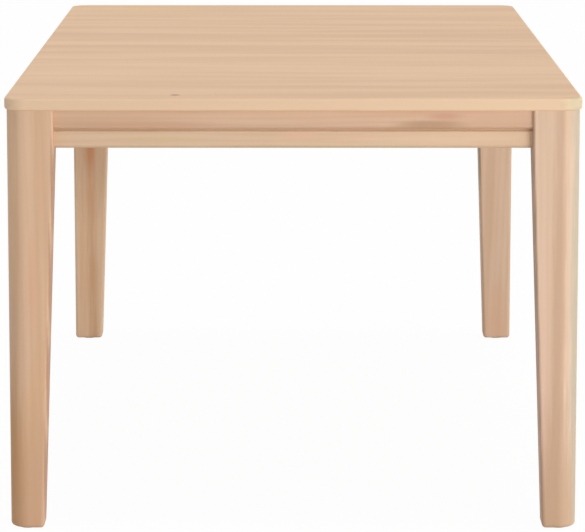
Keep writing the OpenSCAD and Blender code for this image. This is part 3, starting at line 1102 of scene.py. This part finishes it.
@dataclass
class Legs:
    """The four legs: plumb outside, tapered inside and rounded at the table's corners."""

    corner_radius: float = 34 * MM
    edge_radius: float = 4 * MM
    foot_radius: float = 7 * MM
    foot_z: float = 3 * MM
    taper_z: float = 671 * MM
    corner_steps: int = 12
    edge_steps: int = 5
    foot_steps: int = 6
    shaft_steps: int = 12

    NEAR_FACE, NEAR_CORNER, NEAR_CORE = -0.998, -0.985, -0.95
    FAR_FACE, FAR_CORE = 0.92, 0.93

    FINISHES = {
        (Side.LEFT, End.FRONT): leg_wood(
            "front_left", paint(227, 190, 158), paint(216, 176, 142), 21.0, 0.30,
            leg_streak(-0.497, NEAR_CORNER, 0.62, 0.024, 0.30, paint(236, 197, 157), 0.8),
            leg_streak(-0.488, NEAR_CORNER, 0.05, 0.031, 0.30, paint(206, 154, 104), 0.9),
            # Painted shade: the face darkens towards the foot, where less light reaches.
            leg_streak(-0.455, NEAR_FACE, 0.00, 0.080, 0.30, paint(208, 165, 130), 0.7),
            leg_streak(-0.452, NEAR_FACE, 0.44, 0.016, 0.12, paint(224, 170, 138), 0.4),
            # Painted shade: a dark line down the inner face, which is turned away from the light.
            *slanted_line((-0.436, NEAR_CORE, 0.0), (-0.414, NEAR_CORE, 0.68), 0.0045,
                          paint(178, 134, 104), 0.85, steps=4)),
        (Side.RIGHT, End.FRONT): leg_wood(
            "front_right", paint(227, 197, 171), paint(216, 183, 155), 33.0, 0.22,
            # Painted highlight tone: a greyer streak down the lit outer rounding, so that its highlight
            # comes out pale.
            leg_streak(0.502, NEAR_CORNER, 0.40, 0.034, 1.30, paint(177, 168, 146), 0.8),
            # Painted shade: the face darkens towards the foot.
            leg_streak(0.458, NEAR_FACE, -0.02, 0.080, 0.34, paint(194, 158, 128), 0.85),
            leg_streak(0.461, NEAR_FACE, 0.36, 0.017, 0.80, paint(196, 159, 130), 0.75),
            leg_streak(0.436, NEAR_FACE, 0.30, 0.012, 0.34, paint(226, 184, 164), 0.4),
            # Painted shade: dark lines down the inner face, stronger near the top.
            *slanted_line((0.436, NEAR_CORE, 0.0), (0.424, NEAR_CORE, 0.36), 0.004,
                          paint(150, 112, 86), 0.30),
            *slanted_line((0.424, NEAR_CORE, 0.36), (0.414, NEAR_CORE, 0.72), 0.004,
                          paint(148, 110, 82), 0.50, 0.7)),
        # This leg's base colours are paler than the other legs', partly its own wood and partly painted
        # light against the shade under the top.
        (Side.LEFT, End.BACK): leg_wood(
            "back_left", paint(238, 207, 175), paint(228, 194, 160), 47.0, 0.16,
            # Painted shadow: the upper part of the face, under the top and the apron, is darker.
            leg_streak(-0.455, FAR_FACE, 0.47, 0.120, 0.24, paint(192, 156, 124), 0.55),
            leg_streak(-0.476, FAR_FACE, 0.10, 0.020, 0.34, paint(226, 178, 138), 0.6),
            *slanted_line((-0.454, FAR_FACE, -0.10), (-0.459, FAR_FACE, 0.40), 0.018,
                          paint(212, 164, 124), 0.8, 0.95),
            *slanted_line((-0.459, FAR_FACE, 0.40), (-0.464, FAR_FACE, 0.72), 0.020,
                          paint(200, 140, 100), 1.0, 0.95)),
        (Side.RIGHT, End.BACK): leg_wood(
            "back_right", paint(226, 195, 168), paint(215, 182, 153), 59.0, 0.16,
            leg_streak(0.465, FAR_FACE, 0.02, 0.050, 0.16, paint(226, 174, 140), 0.5),
            # Painted shade: a dark line down the inner face near the top.
            *slanted_line((0.424, FAR_CORE, 0.34), (0.414, FAR_CORE, 0.68), 0.005,
                          paint(150, 136, 112), 0.6)),
    }

    def levels(self) -> Iterator[tuple[float, float, float, float]]:
        """Gives the sections of a leg from the foot up.

        Yields:
            Height, width, radius of the plain edges and inset of one section.
        """
        shoulder, foot = self.foot_z + self.foot_radius, FRAME.foot_width
        for step in range(self.foot_steps):
            angle = QUARTER_TURN * (1 - step / self.foot_steps)
            height = shoulder - self.foot_radius * math.sin(angle)
            yield height, foot, self.foot_radius, self.foot_radius * (1 - math.cos(angle))
        for step in range(self.shaft_steps + 1):
            share = step / self.shaft_steps
            yield (
                shoulder + share * (self.taper_z - shoulder),
                foot + share * (FRAME.leg_width - foot),
                self.foot_radius + share * (self.edge_radius - self.foot_radius),
                0.0,
            )
        yield FRAME.under_z, FRAME.leg_width, self.edge_radius, 0.0

    def section(self, width: float, edge: float, inset: float) -> Iterator[tuple[float, float]]:
        """Gives the outline of a section, with the table's corner at the origin.

        Args:
            width: Width of the leg there.
            edge: Radius of its three plain edges.
            inset: Step in from the outline.

        Yields:
            Distances from the two outer faces.
        """
        corners = (
            (0, 0, self.corner_radius, self.corner_steps),
            (1, 0, edge, self.edge_steps),
            (1, 1, edge, self.edge_steps),
            (0, 1, edge, self.edge_steps),
        )
        for turn, (across, along, radius, steps) in enumerate(corners):
            middle_u = radius + across * (width - 2 * radius)
            middle_v = radius + along * (width - 2 * radius)
            for step in range(steps + 1):
                angle = math.pi + (turn + step / steps) * QUARTER_TURN
                reach = radius - inset
                yield middle_u + reach * math.cos(angle), middle_v + reach * math.sin(angle)

    def mesh(self, name: str, side: Side, end: End) -> bpy.types.Mesh:
        """Lofts the sections of one leg.

        Args:
            name: Name of the mesh.
            side: Side of the table.
            end: End of the table.

        Returns:
            A closed mesh with its faces outwards.
        """
        work = bmesh.new()
        rings = [
            [work.verts.new(in_corner(side, end, u, v, height)) for u, v in self.section(*sizes)]
            for height, *sizes in self.levels()
        ]
        for low, high in zip(rings, rings[1:]):
            for index in range(len(low)):
                after = (index + 1) % len(low)
                work.faces.new((low[index], low[after], high[after], high[index]))
        work.faces.new(rings[0])
        work.faces.new(rings[-1])
        bmesh.ops.recalc_face_normals(work, faces=work.faces)
        for face in work.faces:
            face.smooth = True
        for edge in work.edges:
            edge.smooth = edge.calc_face_angle() < Recipe.SHARP_ANGLE
        mesh = bpy.data.meshes.new(name)
        work.to_mesh(mesh)
        work.free()
        return mesh

    def build(self) -> Iterator[bpy.types.Object]:
        """Makes the legs.

        Yields:
            Each finished leg.
        """
        for (side, end), finish in self.FINISHES.items():
            node = f"leg_{corner_name(side, end)}"
            name = f"{corner_name(side, end)}_leg"
            piece = place_object(name, self.mesh(name, side, end))
            piece.data.materials.append(finish.make(node_middle(node)))
            settle_mesh(piece)
            yield finish_piece(piece, "leg_wood", node)


class Row(Enum):
    """The upper or the lower row of apron boards."""

    UPPER = "upper"
    LOWER = "lower"


@dataclass
class ApronBoards:
    """The eight apron boards, two on each side: a nosed one over a grooved one."""

    edge_radius: float = 2.5 * MM
    nose_radius: float = 6 * MM
    groove_height: float = 4.5 * MM
    groove_depth: float = 3 * MM
    groove_wall: float = 1.4 * MM
    groove_cove: float = 0.9 * MM
    groove_arris: float = 0.8 * MM
    tight_arris: float = 0.5 * MM
    steps: int = 6
    streak_share: float = 0.75
    shade_length: float = 9.0
    shade_edge: float = 0.9
    figure_edge: float = 0.8
    first_seed: float = 71.0
    lower_seed: float = 11.0

    def finish(self, row: Row, wall: Wall) -> WoodFinish:
        """Gives the finish of a board.

        Args:
            row: Its row.
            wall: Its side of the table.

        Returns:
            The finish, with its own cut of the same wood.
        """
        grain = Grain.LENGTHWISE if wall.lengthwise else Grain.ACROSS
        seed = self.first_seed + 2 * list(Wall).index(wall)
        name = f"{row.value}_{wall.name.lower()}_wood"
        if row is Row.UPPER:
            return WoodFinish(name, grain, paint(222, 187, 158), paint(210, 171, 140), seed, (
                # Painted shade under the rounded lower edge of the upper board.
                self.shade(wall, FRAME.split_z, 10 * MM, paint(182, 140, 110), 0.45),
                self.figure(wall, 0.36, 0.718, 0.16, 0.022, paint(208, 168, 140), 0.50),
                self.figure(wall, 0.235, 0.712, 0.085, 0.013, paint(182, 142, 110), 0.75),
                self.figure(wall, 0.262, 0.727, 0.045, 0.010, paint(204, 156, 130), 0.70),
                self.figure(wall, -0.25, 0.714, 0.22, 0.008, paint(206, 160, 132), 0.55),
            ), streak_share=self.streak_share)
        groove = FRAME.split_z - FRAME.gap - self.groove_height / 2
        return WoodFinish(name, grain, paint(226, 194, 163), paint(214, 180, 146), seed + self.lower_seed, (
            self.figure(wall, 0.26, 0.688, 0.36, 0.022, paint(232, 198, 168), 0.7),
            self.figure(wall, 0.01, 0.694, 0.05, 0.010, paint(232, 184, 156), 0.6),
            self.figure(wall, -0.23, 0.688, 0.10, 0.007, paint(214, 190, 146), 0.6),
            self.figure(wall, 0.10, 0.678, 0.24, 0.005, paint(216, 198, 158), 0.5),
            # Painted shade: in the groove under the upper board, and along the bottom edge, which turns
            # away from the light.
            self.shade(wall, groove + 2.5 * MM, 5 * MM, paint(176, 134, 104), 0.22),
            self.shade(wall, FRAME.bottom_z, 6 * MM, paint(176, 146, 116), 0.45),
        ), streak_share=self.streak_share)

    def shade(self, wall: Wall, height: float, rise: float, colour: Colour, strength: float) -> Mark:
        """Describes painted shade along an edge of a board, past both of its ends."""
        return wall.mark(0.0, FRAME.lower_in, height, self.shade_length, rise, colour, strength,
                         self.shade_edge)

    def figure(self, wall: Wall, shift: float, height: float, length: float, rise: float,
               colour: Colour, strength: float) -> Mark:
        """Describes a long patch of its own tone on the outer face of a board."""
        return wall.mark(shift, FRAME.upper_in, height, length, rise, colour, strength,
                         self.figure_edge)

    def section(self, row: Row) -> Sequence[Corner]:
        """Gives the section of a board, seen from its end.

        Args:
            row: The row of the board.

        Returns:
            The corners, measured inwards from the face of the legs and up from the floor.
        """
        inner, edge = FRAME.inner_in, self.edge_radius
        if row is Row.UPPER:
            return (
                Corner(FRAME.upper_in, FRAME.split_z, self.nose_radius),
                Corner(inner, FRAME.split_z, edge),
                Corner(inner, FRAME.under_z, edge),
                Corner(FRAME.upper_in, FRAME.under_z, self.tight_arris),
            )
        top = FRAME.split_z - FRAME.gap
        back = FRAME.lower_in + self.groove_depth
        return (
            Corner(FRAME.lower_in, FRAME.bottom_z, edge),
            Corner(inner, FRAME.bottom_z, edge),
            Corner(inner, top, edge),
            Corner(back, top, self.tight_arris),
            Corner(back, top - self.groove_wall, self.groove_cove),
            Corner(FRAME.lower_in, top - self.groove_height, self.groove_arris),
        )

    def build(self) -> Iterator[bpy.types.Object]:
        """Makes the boards.

        Yields:
            Each finished board.
        """
        recipe = swept_recipe()
        for row in Row:
            for wall in Wall:
                name = f"{row.value}_{wall.name.lower()}_board"
                node = f"{row.value}_rail_{wall.name.lower()}"
                piece = recipe.grow(name, outline_mesh(name, self.section(row)), {
                    "Length": wall.length,
                    "Steps": self.steps,
                    "Material": self.finish(row, wall).make(node_middle(node)),
                }, [wall.place()])
                yield finish_piece(piece, f"{row.value}_board_wood", node)


@dataclass
class Blocks:
    """Corner blocks, cross bearers and dowels, shown as they are in the CAD."""

    inner: WoodFinish = WoodFinish(
        "inner_wood", Grain.ACROSS, paint(222, 196, 162), paint(202, 170, 134), 91.0)

    def build(self) -> Iterator[bpy.types.Object]:
        """Dresses the nodes.

        Yields:
            Each dressed node.
        """
        for end in End:
            for side in Side:
                yield dress_node(f"corner_block_{corner_name(side, end)}", self.inner)
            yield dress_node(f"cross_bearer_{end.name.lower()}", self.inner)
        for node in ("rail_dowels", "bearer_dowels"):
            yield dress_node(node, self.inner)


@dataclass
class Fittings:
    """Hanger bolts with washers and nuts, screws, clips, and glides with their nails."""

    zinc: ZincFinish = ZincFinish("zinc")
    dark_zinc: ZincFinish = ZincFinish("dark_zinc", paint(170, 171, 170), paint(132, 134, 136), 0.42)
    nylon: NylonFinish = NylonFinish("nylon")
    cut_edge: float = 0.2 * MM
    worn_edge: float = 0.3 * MM

    block_gap: float = 3 * MM
    block_depth: float = 27 * MM
    bolt_radius: float = 4 * MM
    core_radius: float = 3.5 * MM
    lag_groove: float = 1 * MM
    bolt_groove: float = 0.7 * MM
    bolt_chamfer: float = 1 * MM
    bolt_length: float = 80 * MM
    bolt_point: float = 6 * MM
    bolt_tip: float = 2 * MM
    bolt_pitch: float = 1.25 * MM
    lag_pitch: float = 3.0 * MM
    washer_radius: float = 8 * MM
    washer_hole: float = 4.2 * MM
    washer_height: float = 1.6 * MM
    washer_rim: float = 0.4 * MM
    nut_flats: float = 13 * MM
    nut_hole: float = 4.05 * MM
    nut_height: float = 6.5 * MM
    nut_chamfer: float = 0.7 * MM

    screw_radius: float = 2 * MM
    screw_core: float = 1.4 * MM
    screw_point: float = 2 * MM
    screw_length: float = 25 * MM
    shank_share: float = 0.3
    clip_screw_length: float = 15 * MM
    screw_pitch: float = 1.8 * MM
    head_radius: float = 4 * MM
    head_height: float = 2.6 * MM
    head_dome: float = 1.2 * MM
    cross_length: float = 4.4 * MM
    cross_width: float = 0.9 * MM
    cross_depth: float = 1.5 * MM
    screw_wall: float = 5 * MM
    top_wall: float = 9 * MM
    bearer_screw_share: float = 0.36

    clip_width: float = 20 * MM
    clip_flange: float = 22 * MM
    clip_sheet: float = 1.5 * MM
    clip_drop: float = 10 * MM
    clip_reach: float = 8 * MM
    clip_gap: float = 1 * MM
    clip_bend: float = 1.9 * MM
    side_clip_share: float = 0.32
    end_clip_share: float = 0.2

    glide_radius: float = 14 * MM
    glide_height: float = 3 * MM
    glide_chamfer: float = 0.8 * MM
    nail_radius: float = 1.25 * MM
    nail_length: float = 18 * MM
    nail_head_radius: float = 3 * MM
    nail_head_height: float = 1 * MM
    nail_recess: float = 0.9 * MM
    play: float = 0.05 * MM

    sides: int = 24
    steps: int = 3

    @property
    def block_far(self) -> float:
        """Gives the distance of a corner block's inner face along the diagonal."""
        return FRAME.leg_width * DIAGONAL + self.block_gap + self.block_depth

    @property
    def bolt_end(self) -> float:
        """Gives the distance of a hanger bolt's inner end along the diagonal."""
        return self.block_far + self.washer_height + self.nut_height + self.bolt_tip

    @staticmethod
    def thread(start: float, end: float, pitch: float, core: float, crest: float) -> Iterator[Corner]:
        """Gives the ridges of a thread.

        Args:
            start: Height at which it starts.
            end: Height at which it ends.
            pitch: Distance between two ridges.
            core: Radius between the ridges.
            crest: Radius on the ridges.

        Yields:
            The corners of the ridges, upwards.
        """
        for turn in range(int((end - start) / pitch)):
            yield Corner(core, start + turn * pitch)
            yield Corner(crest, start + (turn + 0.5) * pitch)

    def bolt_section(self) -> Sequence[Corner]:
        """Gives the section of a hanger bolt.

        Returns:
            Its corners from the point up.
        """
        crest, core, length = self.bolt_radius, self.core_radius, self.bolt_length
        lag_end = FRAME.leg_width * DIAGONAL - (self.bolt_end - length)
        shank = lag_end - 2 * self.lag_pitch
        return (
            Corner(0, 0),
            *self.thread(self.bolt_point, shank, self.lag_pitch, core - self.lag_groove, core),
            Corner(core, shank),
            Corner(core, lag_end),
            *self.thread(lag_end + self.bolt_chamfer, length - self.bolt_chamfer, self.bolt_pitch,
                         crest - self.bolt_groove, crest),
            Corner(crest - self.bolt_chamfer, length),
            Corner(0, length),
        )

    def nut_section(self) -> Sequence[Corner]:
        """Gives the section of a hexagon nut with chamfered faces.

        Returns:
            Its corners round the section.
        """
        hole, height, chamfer = self.nut_hole, self.nut_height, self.nut_chamfer
        face = self.nut_flats / 2
        point = face / math.cos(math.pi / 6)
        return (
            Corner(hole + chamfer, 0),
            Corner(face, 0),
            Corner(point, chamfer),
            Corner(point, height - chamfer),
            Corner(face, height),
            Corner(hole + chamfer, height),
            Corner(hole, height - chamfer),
            Corner(hole, chamfer),
        )

    def washer_section(self) -> Sequence[Corner]:
        """Gives the section of a punched washer, rounded on its rim."""
        hole, rim, height = self.washer_hole, self.washer_radius, self.washer_height
        return (
            Corner(hole, 0),
            Corner(rim, 0, self.cut_edge),
            Corner(rim, height, self.washer_rim),
            Corner(hole, height, self.cut_edge),
        )

    def screw_section(self, length: float) -> Sequence[Corner]:
        """Gives the section of a pan head screw of some length, from its point up."""
        core, crest, shank = self.screw_core, self.screw_radius, -self.shank_share * length
        return (
            Corner(0, -length),
            *self.thread(self.screw_point - length, shank, self.screw_pitch, core, crest),
            Corner(crest, shank),
            Corner(crest, 0),
            Corner(self.head_radius, 0, self.worn_edge),
            Corner(self.head_radius, self.head_height, self.head_dome),
            Corner(0, self.head_height),
        )

    def clip_section(self) -> Sequence[Corner]:
        """Gives the section of a clip, a strip of sheet bent twice.

        Returns:
            Its corners, measured as those of the boards are.
        """
        inner, sheet, cut = FRAME.inner_in, self.clip_sheet, self.worn_edge
        web, top = inner + self.clip_gap, FRAME.under_z
        slot, fold = top - self.clip_drop, self.clip_bend - sheet
        return (
            Corner(web + self.clip_flange, top, cut),
            Corner(web, top, self.clip_bend),
            Corner(web, slot, fold),
            Corner(inner - self.clip_reach, slot, cut),
            Corner(inner - self.clip_reach, slot - sheet, cut),
            Corner(web + sheet, slot - sheet, self.clip_bend),
            Corner(web + sheet, top - sheet, fold),
            Corner(web + self.clip_flange, top - sheet, cut),
        )

    def glide_section(self) -> Sequence[Corner]:
        """Gives the section of a glide, stepped inside for the head of its nail.

        Returns:
            Its corners round the section.
        """
        rim, height = self.glide_radius, self.glide_height
        well, shank = self.nail_head_radius + self.play, self.nail_radius + self.play
        seat = self.nail_recess + self.nail_head_height
        return (
            Corner(well, 0, self.cut_edge),
            Corner(rim, 0, self.glide_chamfer),
            Corner(rim, height, self.cut_edge),
            Corner(shank, height),
            Corner(shank, seat),
            Corner(well, seat),
        )

    def nail_section(self) -> Sequence[Corner]:
        """Gives the section of a nail from its head up."""
        neck, head, shank = self.nail_head_height, self.nail_head_radius, self.nail_radius
        return (
            Corner(0, 0),
            Corner(head, 0, self.worn_edge),
            Corner(head, neck, self.cut_edge),
            Corner(shank, neck),
            Corner(shank, neck + self.nail_length - 2 * shank),
            Corner(0, neck + self.nail_length),
        )

    def diagonal_places(self, distance: float) -> list[Place]:
        """Gives the places at a distance along each corner's diagonal, one at each row of boards."""
        step = distance / DIAGONAL
        return [Place(in_corner(side, end, step, step, height), facing(-side.value, -end.value, 0))
                for side, end in CORNERS for height in FRAME.row_middles()]

    def long_screw_places(self) -> Iterator[Place]:
        """Gives the places of the screws into the boards and through the bearers into the top.

        Yields:
            Each place, with the head inwards or downwards.
        """
        along = (2 * self.block_far - self.block_depth) / DIAGONAL - FRAME.inner_in
        bite = FRAME.inner_in - FRAME.lower_in - self.screw_wall
        seat = FRAME.inner_in + self.screw_length - bite
        for side, end in CORNERS:
            for height in FRAME.row_middles():
                yield Place(in_corner(side, end, along, seat, height), facing(0, -end.value, 0))
                yield Place(in_corner(side, end, seat, along, height), facing(-side.value, 0, 0))
        reach = 2 * (FRAME.face_x - FRAME.inner_in) * self.bearer_screw_share
        bearer_y = TableTop.length / 6
        depth = self.screw_length - (TableTop.thickness - self.top_wall)
        for end in End:
            for step in (-1, 0, 1):
                spot = Vector((step * reach, end.value * bearer_y, FRAME.under_z - depth))
                yield Place(spot, facing(0, 0, -1))

    def clip_places(self, inward: float = 0.0, height: float = 0.0) -> Iterator[Place]:
        """Gives the places of the clips along the four walls.

        Args:
            inward: Distance in from the faces of the legs.
            height: Height above the floor.

        Yields:
            Each place.
        """
        for wall in Wall:
            share = self.side_clip_share if wall.lengthwise else self.end_clip_share
            for step in (-1, 0, 1) if wall.lengthwise else (-1, 1):
                yield wall.place(step * share * wall.length, inward, height)

    def clip_screw_places(self) -> list[Place]:
        """Gives the places of the screws up through the clips, with their heads downwards."""
        inward = FRAME.inner_in + self.clip_gap + (self.clip_sheet + self.clip_flange) / 2
        return [Place(place.spot, facing(0, 0, -1))
                for place in self.clip_places(inward, FRAME.under_z - self.clip_sheet)]

    def foot_places(self, height: float) -> list[Place]:
        """Gives one place under each leg, at a height above the floor."""
        middle = FRAME.foot_width / 2
        return [Place(in_corner(side, end, middle, middle, height), Euler()) for side, end in CORNERS]

    def build(self) -> Iterator[bpy.types.Object]:
        """Makes the fittings.

        Yields:
            Each kind of fitting.
        """
        recipe = turned_recipe()
        start = self.bolt_end - self.bolt_length
        yield self.turned(recipe, "bolts", self.bolt_section(), False, self.zinc,
                          self.diagonal_places(start), "hanger_bolts")
        yield self.turned(recipe, "washers", self.washer_section(), True, self.zinc,
                          self.diagonal_places(self.block_far), "hanger_washers")
        yield self.turned(recipe, "nuts", self.nut_section(), True, self.dark_zinc,
                          self.diagonal_places(self.block_far + self.washer_height), "hanger_nuts",
                          flats=self.nut_flats)
        yield self.turned(recipe, "screws", self.screw_section(self.screw_length), False, self.zinc,
                          list(self.long_screw_places()), "wood_screws", cross=self.cross_length)
        yield self.turned(recipe, "short_screws", self.screw_section(self.clip_screw_length), False,
                          self.zinc, self.clip_screw_places(), "clip_screws", cross=self.cross_length)
        clips = swept_recipe().grow("clips", outline_mesh("clips", self.clip_section()), {
            "Length": self.clip_width,
            "Steps": self.steps,
            "Material": self.zinc.make(Vector((0, 0, FRAME.under_z))),
        }, list(self.clip_places()))
        yield finish_piece(clips, self.zinc.slot, "top_clips")
        glides = [f"foot_glide_{corner_name(side, end)}" for side, end in CORNERS]
        yield self.turned(recipe, "glides", self.glide_section(), True, self.nylon,
                          self.foot_places(0.0), *glides)
        yield self.turned(recipe, "nails", self.nail_section(), False, self.zinc,
                          self.foot_places(self.nail_recess), "glide_nails")

    def turned(self, recipe: Recipe, name: str, section: Sequence[Corner], closed: bool,
               finish: ZincFinish | NylonFinish, places: Sequence[Place], *nodes: str,
               flats: float = 0.0, cross: float = 0.0) -> bpy.types.Object:
        """Makes one kind of turned part on all its places.

        Args:
            recipe: The tree.
            name: Name of the piece.
            section: The section.
            closed: Whether the section closes on itself, round a hole.
            finish: The finish.
            places: Where the part stands.
            nodes: CAD nodes that it stands for.
            flats: Width across its six flats, where it has them.
            cross: Length of its cross recess, where it has one.

        Returns:
            The finished piece.
        """
        middle = sum((place.spot for place in places), Vector()) / len(places)
        piece = recipe.grow(name, outline_mesh(name, section, closed), {
            "Sides": self.sides,
            "Steps": self.steps,
            "Across flats": flats,
            "Cross length": cross,
            "Cross width": self.cross_width if cross else 0.0,
            "Cross floor": self.head_height - self.cross_depth if cross else 0.0,
            "Material": finish.make(middle),
        }, places)
        return finish_piece(piece, finish.slot, *nodes)


# The studio


@dataclass
class PhotoCamera:
    """The photograph's point of view."""

    place: Triple = (-0.0038, -7.099, 1.411)
    pitch: float = math.radians(8.783)
    yaw: float = math.radians(0.023)
    roll: float = math.radians(-0.013)
    focal_pixels: float = 3564.6
    frame_pixels: float = 585.0
    sensor: float = 36.0
    sight: float = 200.0

    def build(self) -> None:
        """Makes the scene's camera."""
        data = bpy.data.cameras.new("photo_camera")
        data.sensor_fit = "HORIZONTAL"
        data.sensor_width = self.sensor
        data.lens = self.focal_pixels * self.sensor / self.frame_pixels
        data.clip_end = self.sight
        camera = place_object("photo_camera", data)
        camera.matrix_world = (
            Matrix.Translation(self.place)
            @ Matrix.Rotation(-self.yaw, 4, "Z")
            @ Matrix.Rotation(QUARTER_TURN - self.pitch, 4, "X")
            @ Matrix.Rotation(-self.roll, 4, "Z")
        )
        bpy.context.scene.camera = camera


@dataclass(frozen=True)
class Lamp:
    """A soft box: its power, its place and the size of its face."""

    name: str
    watts: float
    place: Triple
    width: float
    height: float


@dataclass
class Studio:
    """A plain pale floor under soft light from the front, stronger from the right."""

    floor_reach: float = 60.0
    floor_bounce: Colour = (0.80, 0.80, 0.80, 1.0)
    floor_shown: Colour = (0.90, 0.90, 0.90, 1.0)
    floor_white: float = 0.97
    sky_colour: Colour = (1.0, 1.0, 1.0, 1.0)
    sky_level: float = 0.44
    ceiling_level: float = 1.0
    ceiling_spread: float = math.radians(14)
    ceiling_from: Triple = (0.05, -0.05, 1.0)
    aim: Triple = (0.0, 0.0, 0.55)
    lamps: tuple[Lamp, ...] = (
        Lamp("key", 107.0, (3.0, -4.9, 0.68), 2.6, 1.2),
        Lamp("side", 56.0, (5.2, -1.2, 0.68), 2.6, 1.2),
    )

    def floor(self) -> None:
        """Makes the floor, white to the eye and still under the table's shadow."""
        reach = self.floor_reach
        mesh = bpy.data.meshes.new("floor")
        mesh.from_pydata(
            [(-reach, -reach, 0), (reach, -reach, 0), (reach, reach, 0), (-reach, reach, 0)],
            [], [(0, 1, 2, 3)])
        bench = FinishBench("pale_floor")
        seen = bench.seen()
        matt = bench.node("ShaderNodeBsdfDiffuse", {
            "Color": bench.blend(seen, self.floor_bounce, self.floor_shown)})
        white = bench.node("ShaderNodeEmission", {"Strength": 1.0})
        lit = bench.node("ShaderNodeMixShader", {0: seen * self.floor_white, 1: matt, 2: white})
        mesh.materials.append(bench.close(lit))
        place_object("floor", mesh)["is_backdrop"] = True

    def sky(self) -> None:
        """Lights the scene evenly and shows white behind it."""
        world = bpy.data.worlds.new("studio")
        world.use_nodes = True
        bench = Bench(world.node_tree)
        back = world.node_tree.nodes["Background"]
        level = bench.number("ShaderNodeMapRange", {
            "Value": bench.seen(), "To Min": self.sky_level, "To Max": 1.0})
        bench.feed(back.inputs["Strength"], level)
        bench.feed(back.inputs["Color"], self.sky_colour)
        bpy.context.scene.world = world

    def light(self, name: str, kind: str, energy: float, turn: Quaternion) -> bpy.types.Object:
        """Adds a light at the origin.

        Args:
            name: Its name.
            kind: Blender's name for its type.
            energy: Its power, or its strength if it is a sun.
            turn: Where it looks.

        Returns:
            The light.
        """
        data = bpy.data.lights.new(name, kind)
        data.energy = energy
        light = place_object(name, data)
        light.rotation_mode = "QUATERNION"
        light.rotation_quaternion = turn
        return light

    def build(self) -> None:
        """Makes the floor, the sky, the even light from above and the soft boxes."""
        self.floor()
        self.sky()
        turn = Vector(self.ceiling_from).to_track_quat("Z", "Y")
        ceiling = self.light("ceiling", "SUN", self.ceiling_level, turn)
        ceiling.data.angle = self.ceiling_spread
        for lamp in self.lamps:
            turn = (Vector(self.aim) - Vector(lamp.place)).to_track_quat("-Z", "Y")
            box = self.light(lamp.name, "AREA", lamp.watts, turn)
            box.location = lamp.place
            box.visible_camera = False
            box.data.shape = "RECTANGLE"
            box.data.size = lamp.width
            box.data.size_y = lamp.height
        bpy.context.scene.view_settings.view_transform = "Standard"


def write_sizes() -> None:
    """Gathers the CAD box and the dressed table's box as plain lists."""
    boxes = {"cad": CAD_BOX, "visual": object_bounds()}
    plain = {name: [list(corner) for corner in box] for name, box in boxes.items()}


def main() -> None:
    """Builds the studio and then the table, assembly by assembly."""
    PhotoCamera().build()
    Studio().build()
    for assembly in (TableTop(), Legs(), ApronBoards(), Blocks(), Fittings()):
        for piece in assembly.build():
            log.info("%s: %s, %d faces", type(assembly).__name__, piece.name,
                     len(piece.data.polygons))


if __name__ == "__main__":
    logging.basicConfig(level=logging.INFO, format="%(message)s")
    main()
    write_sizes()
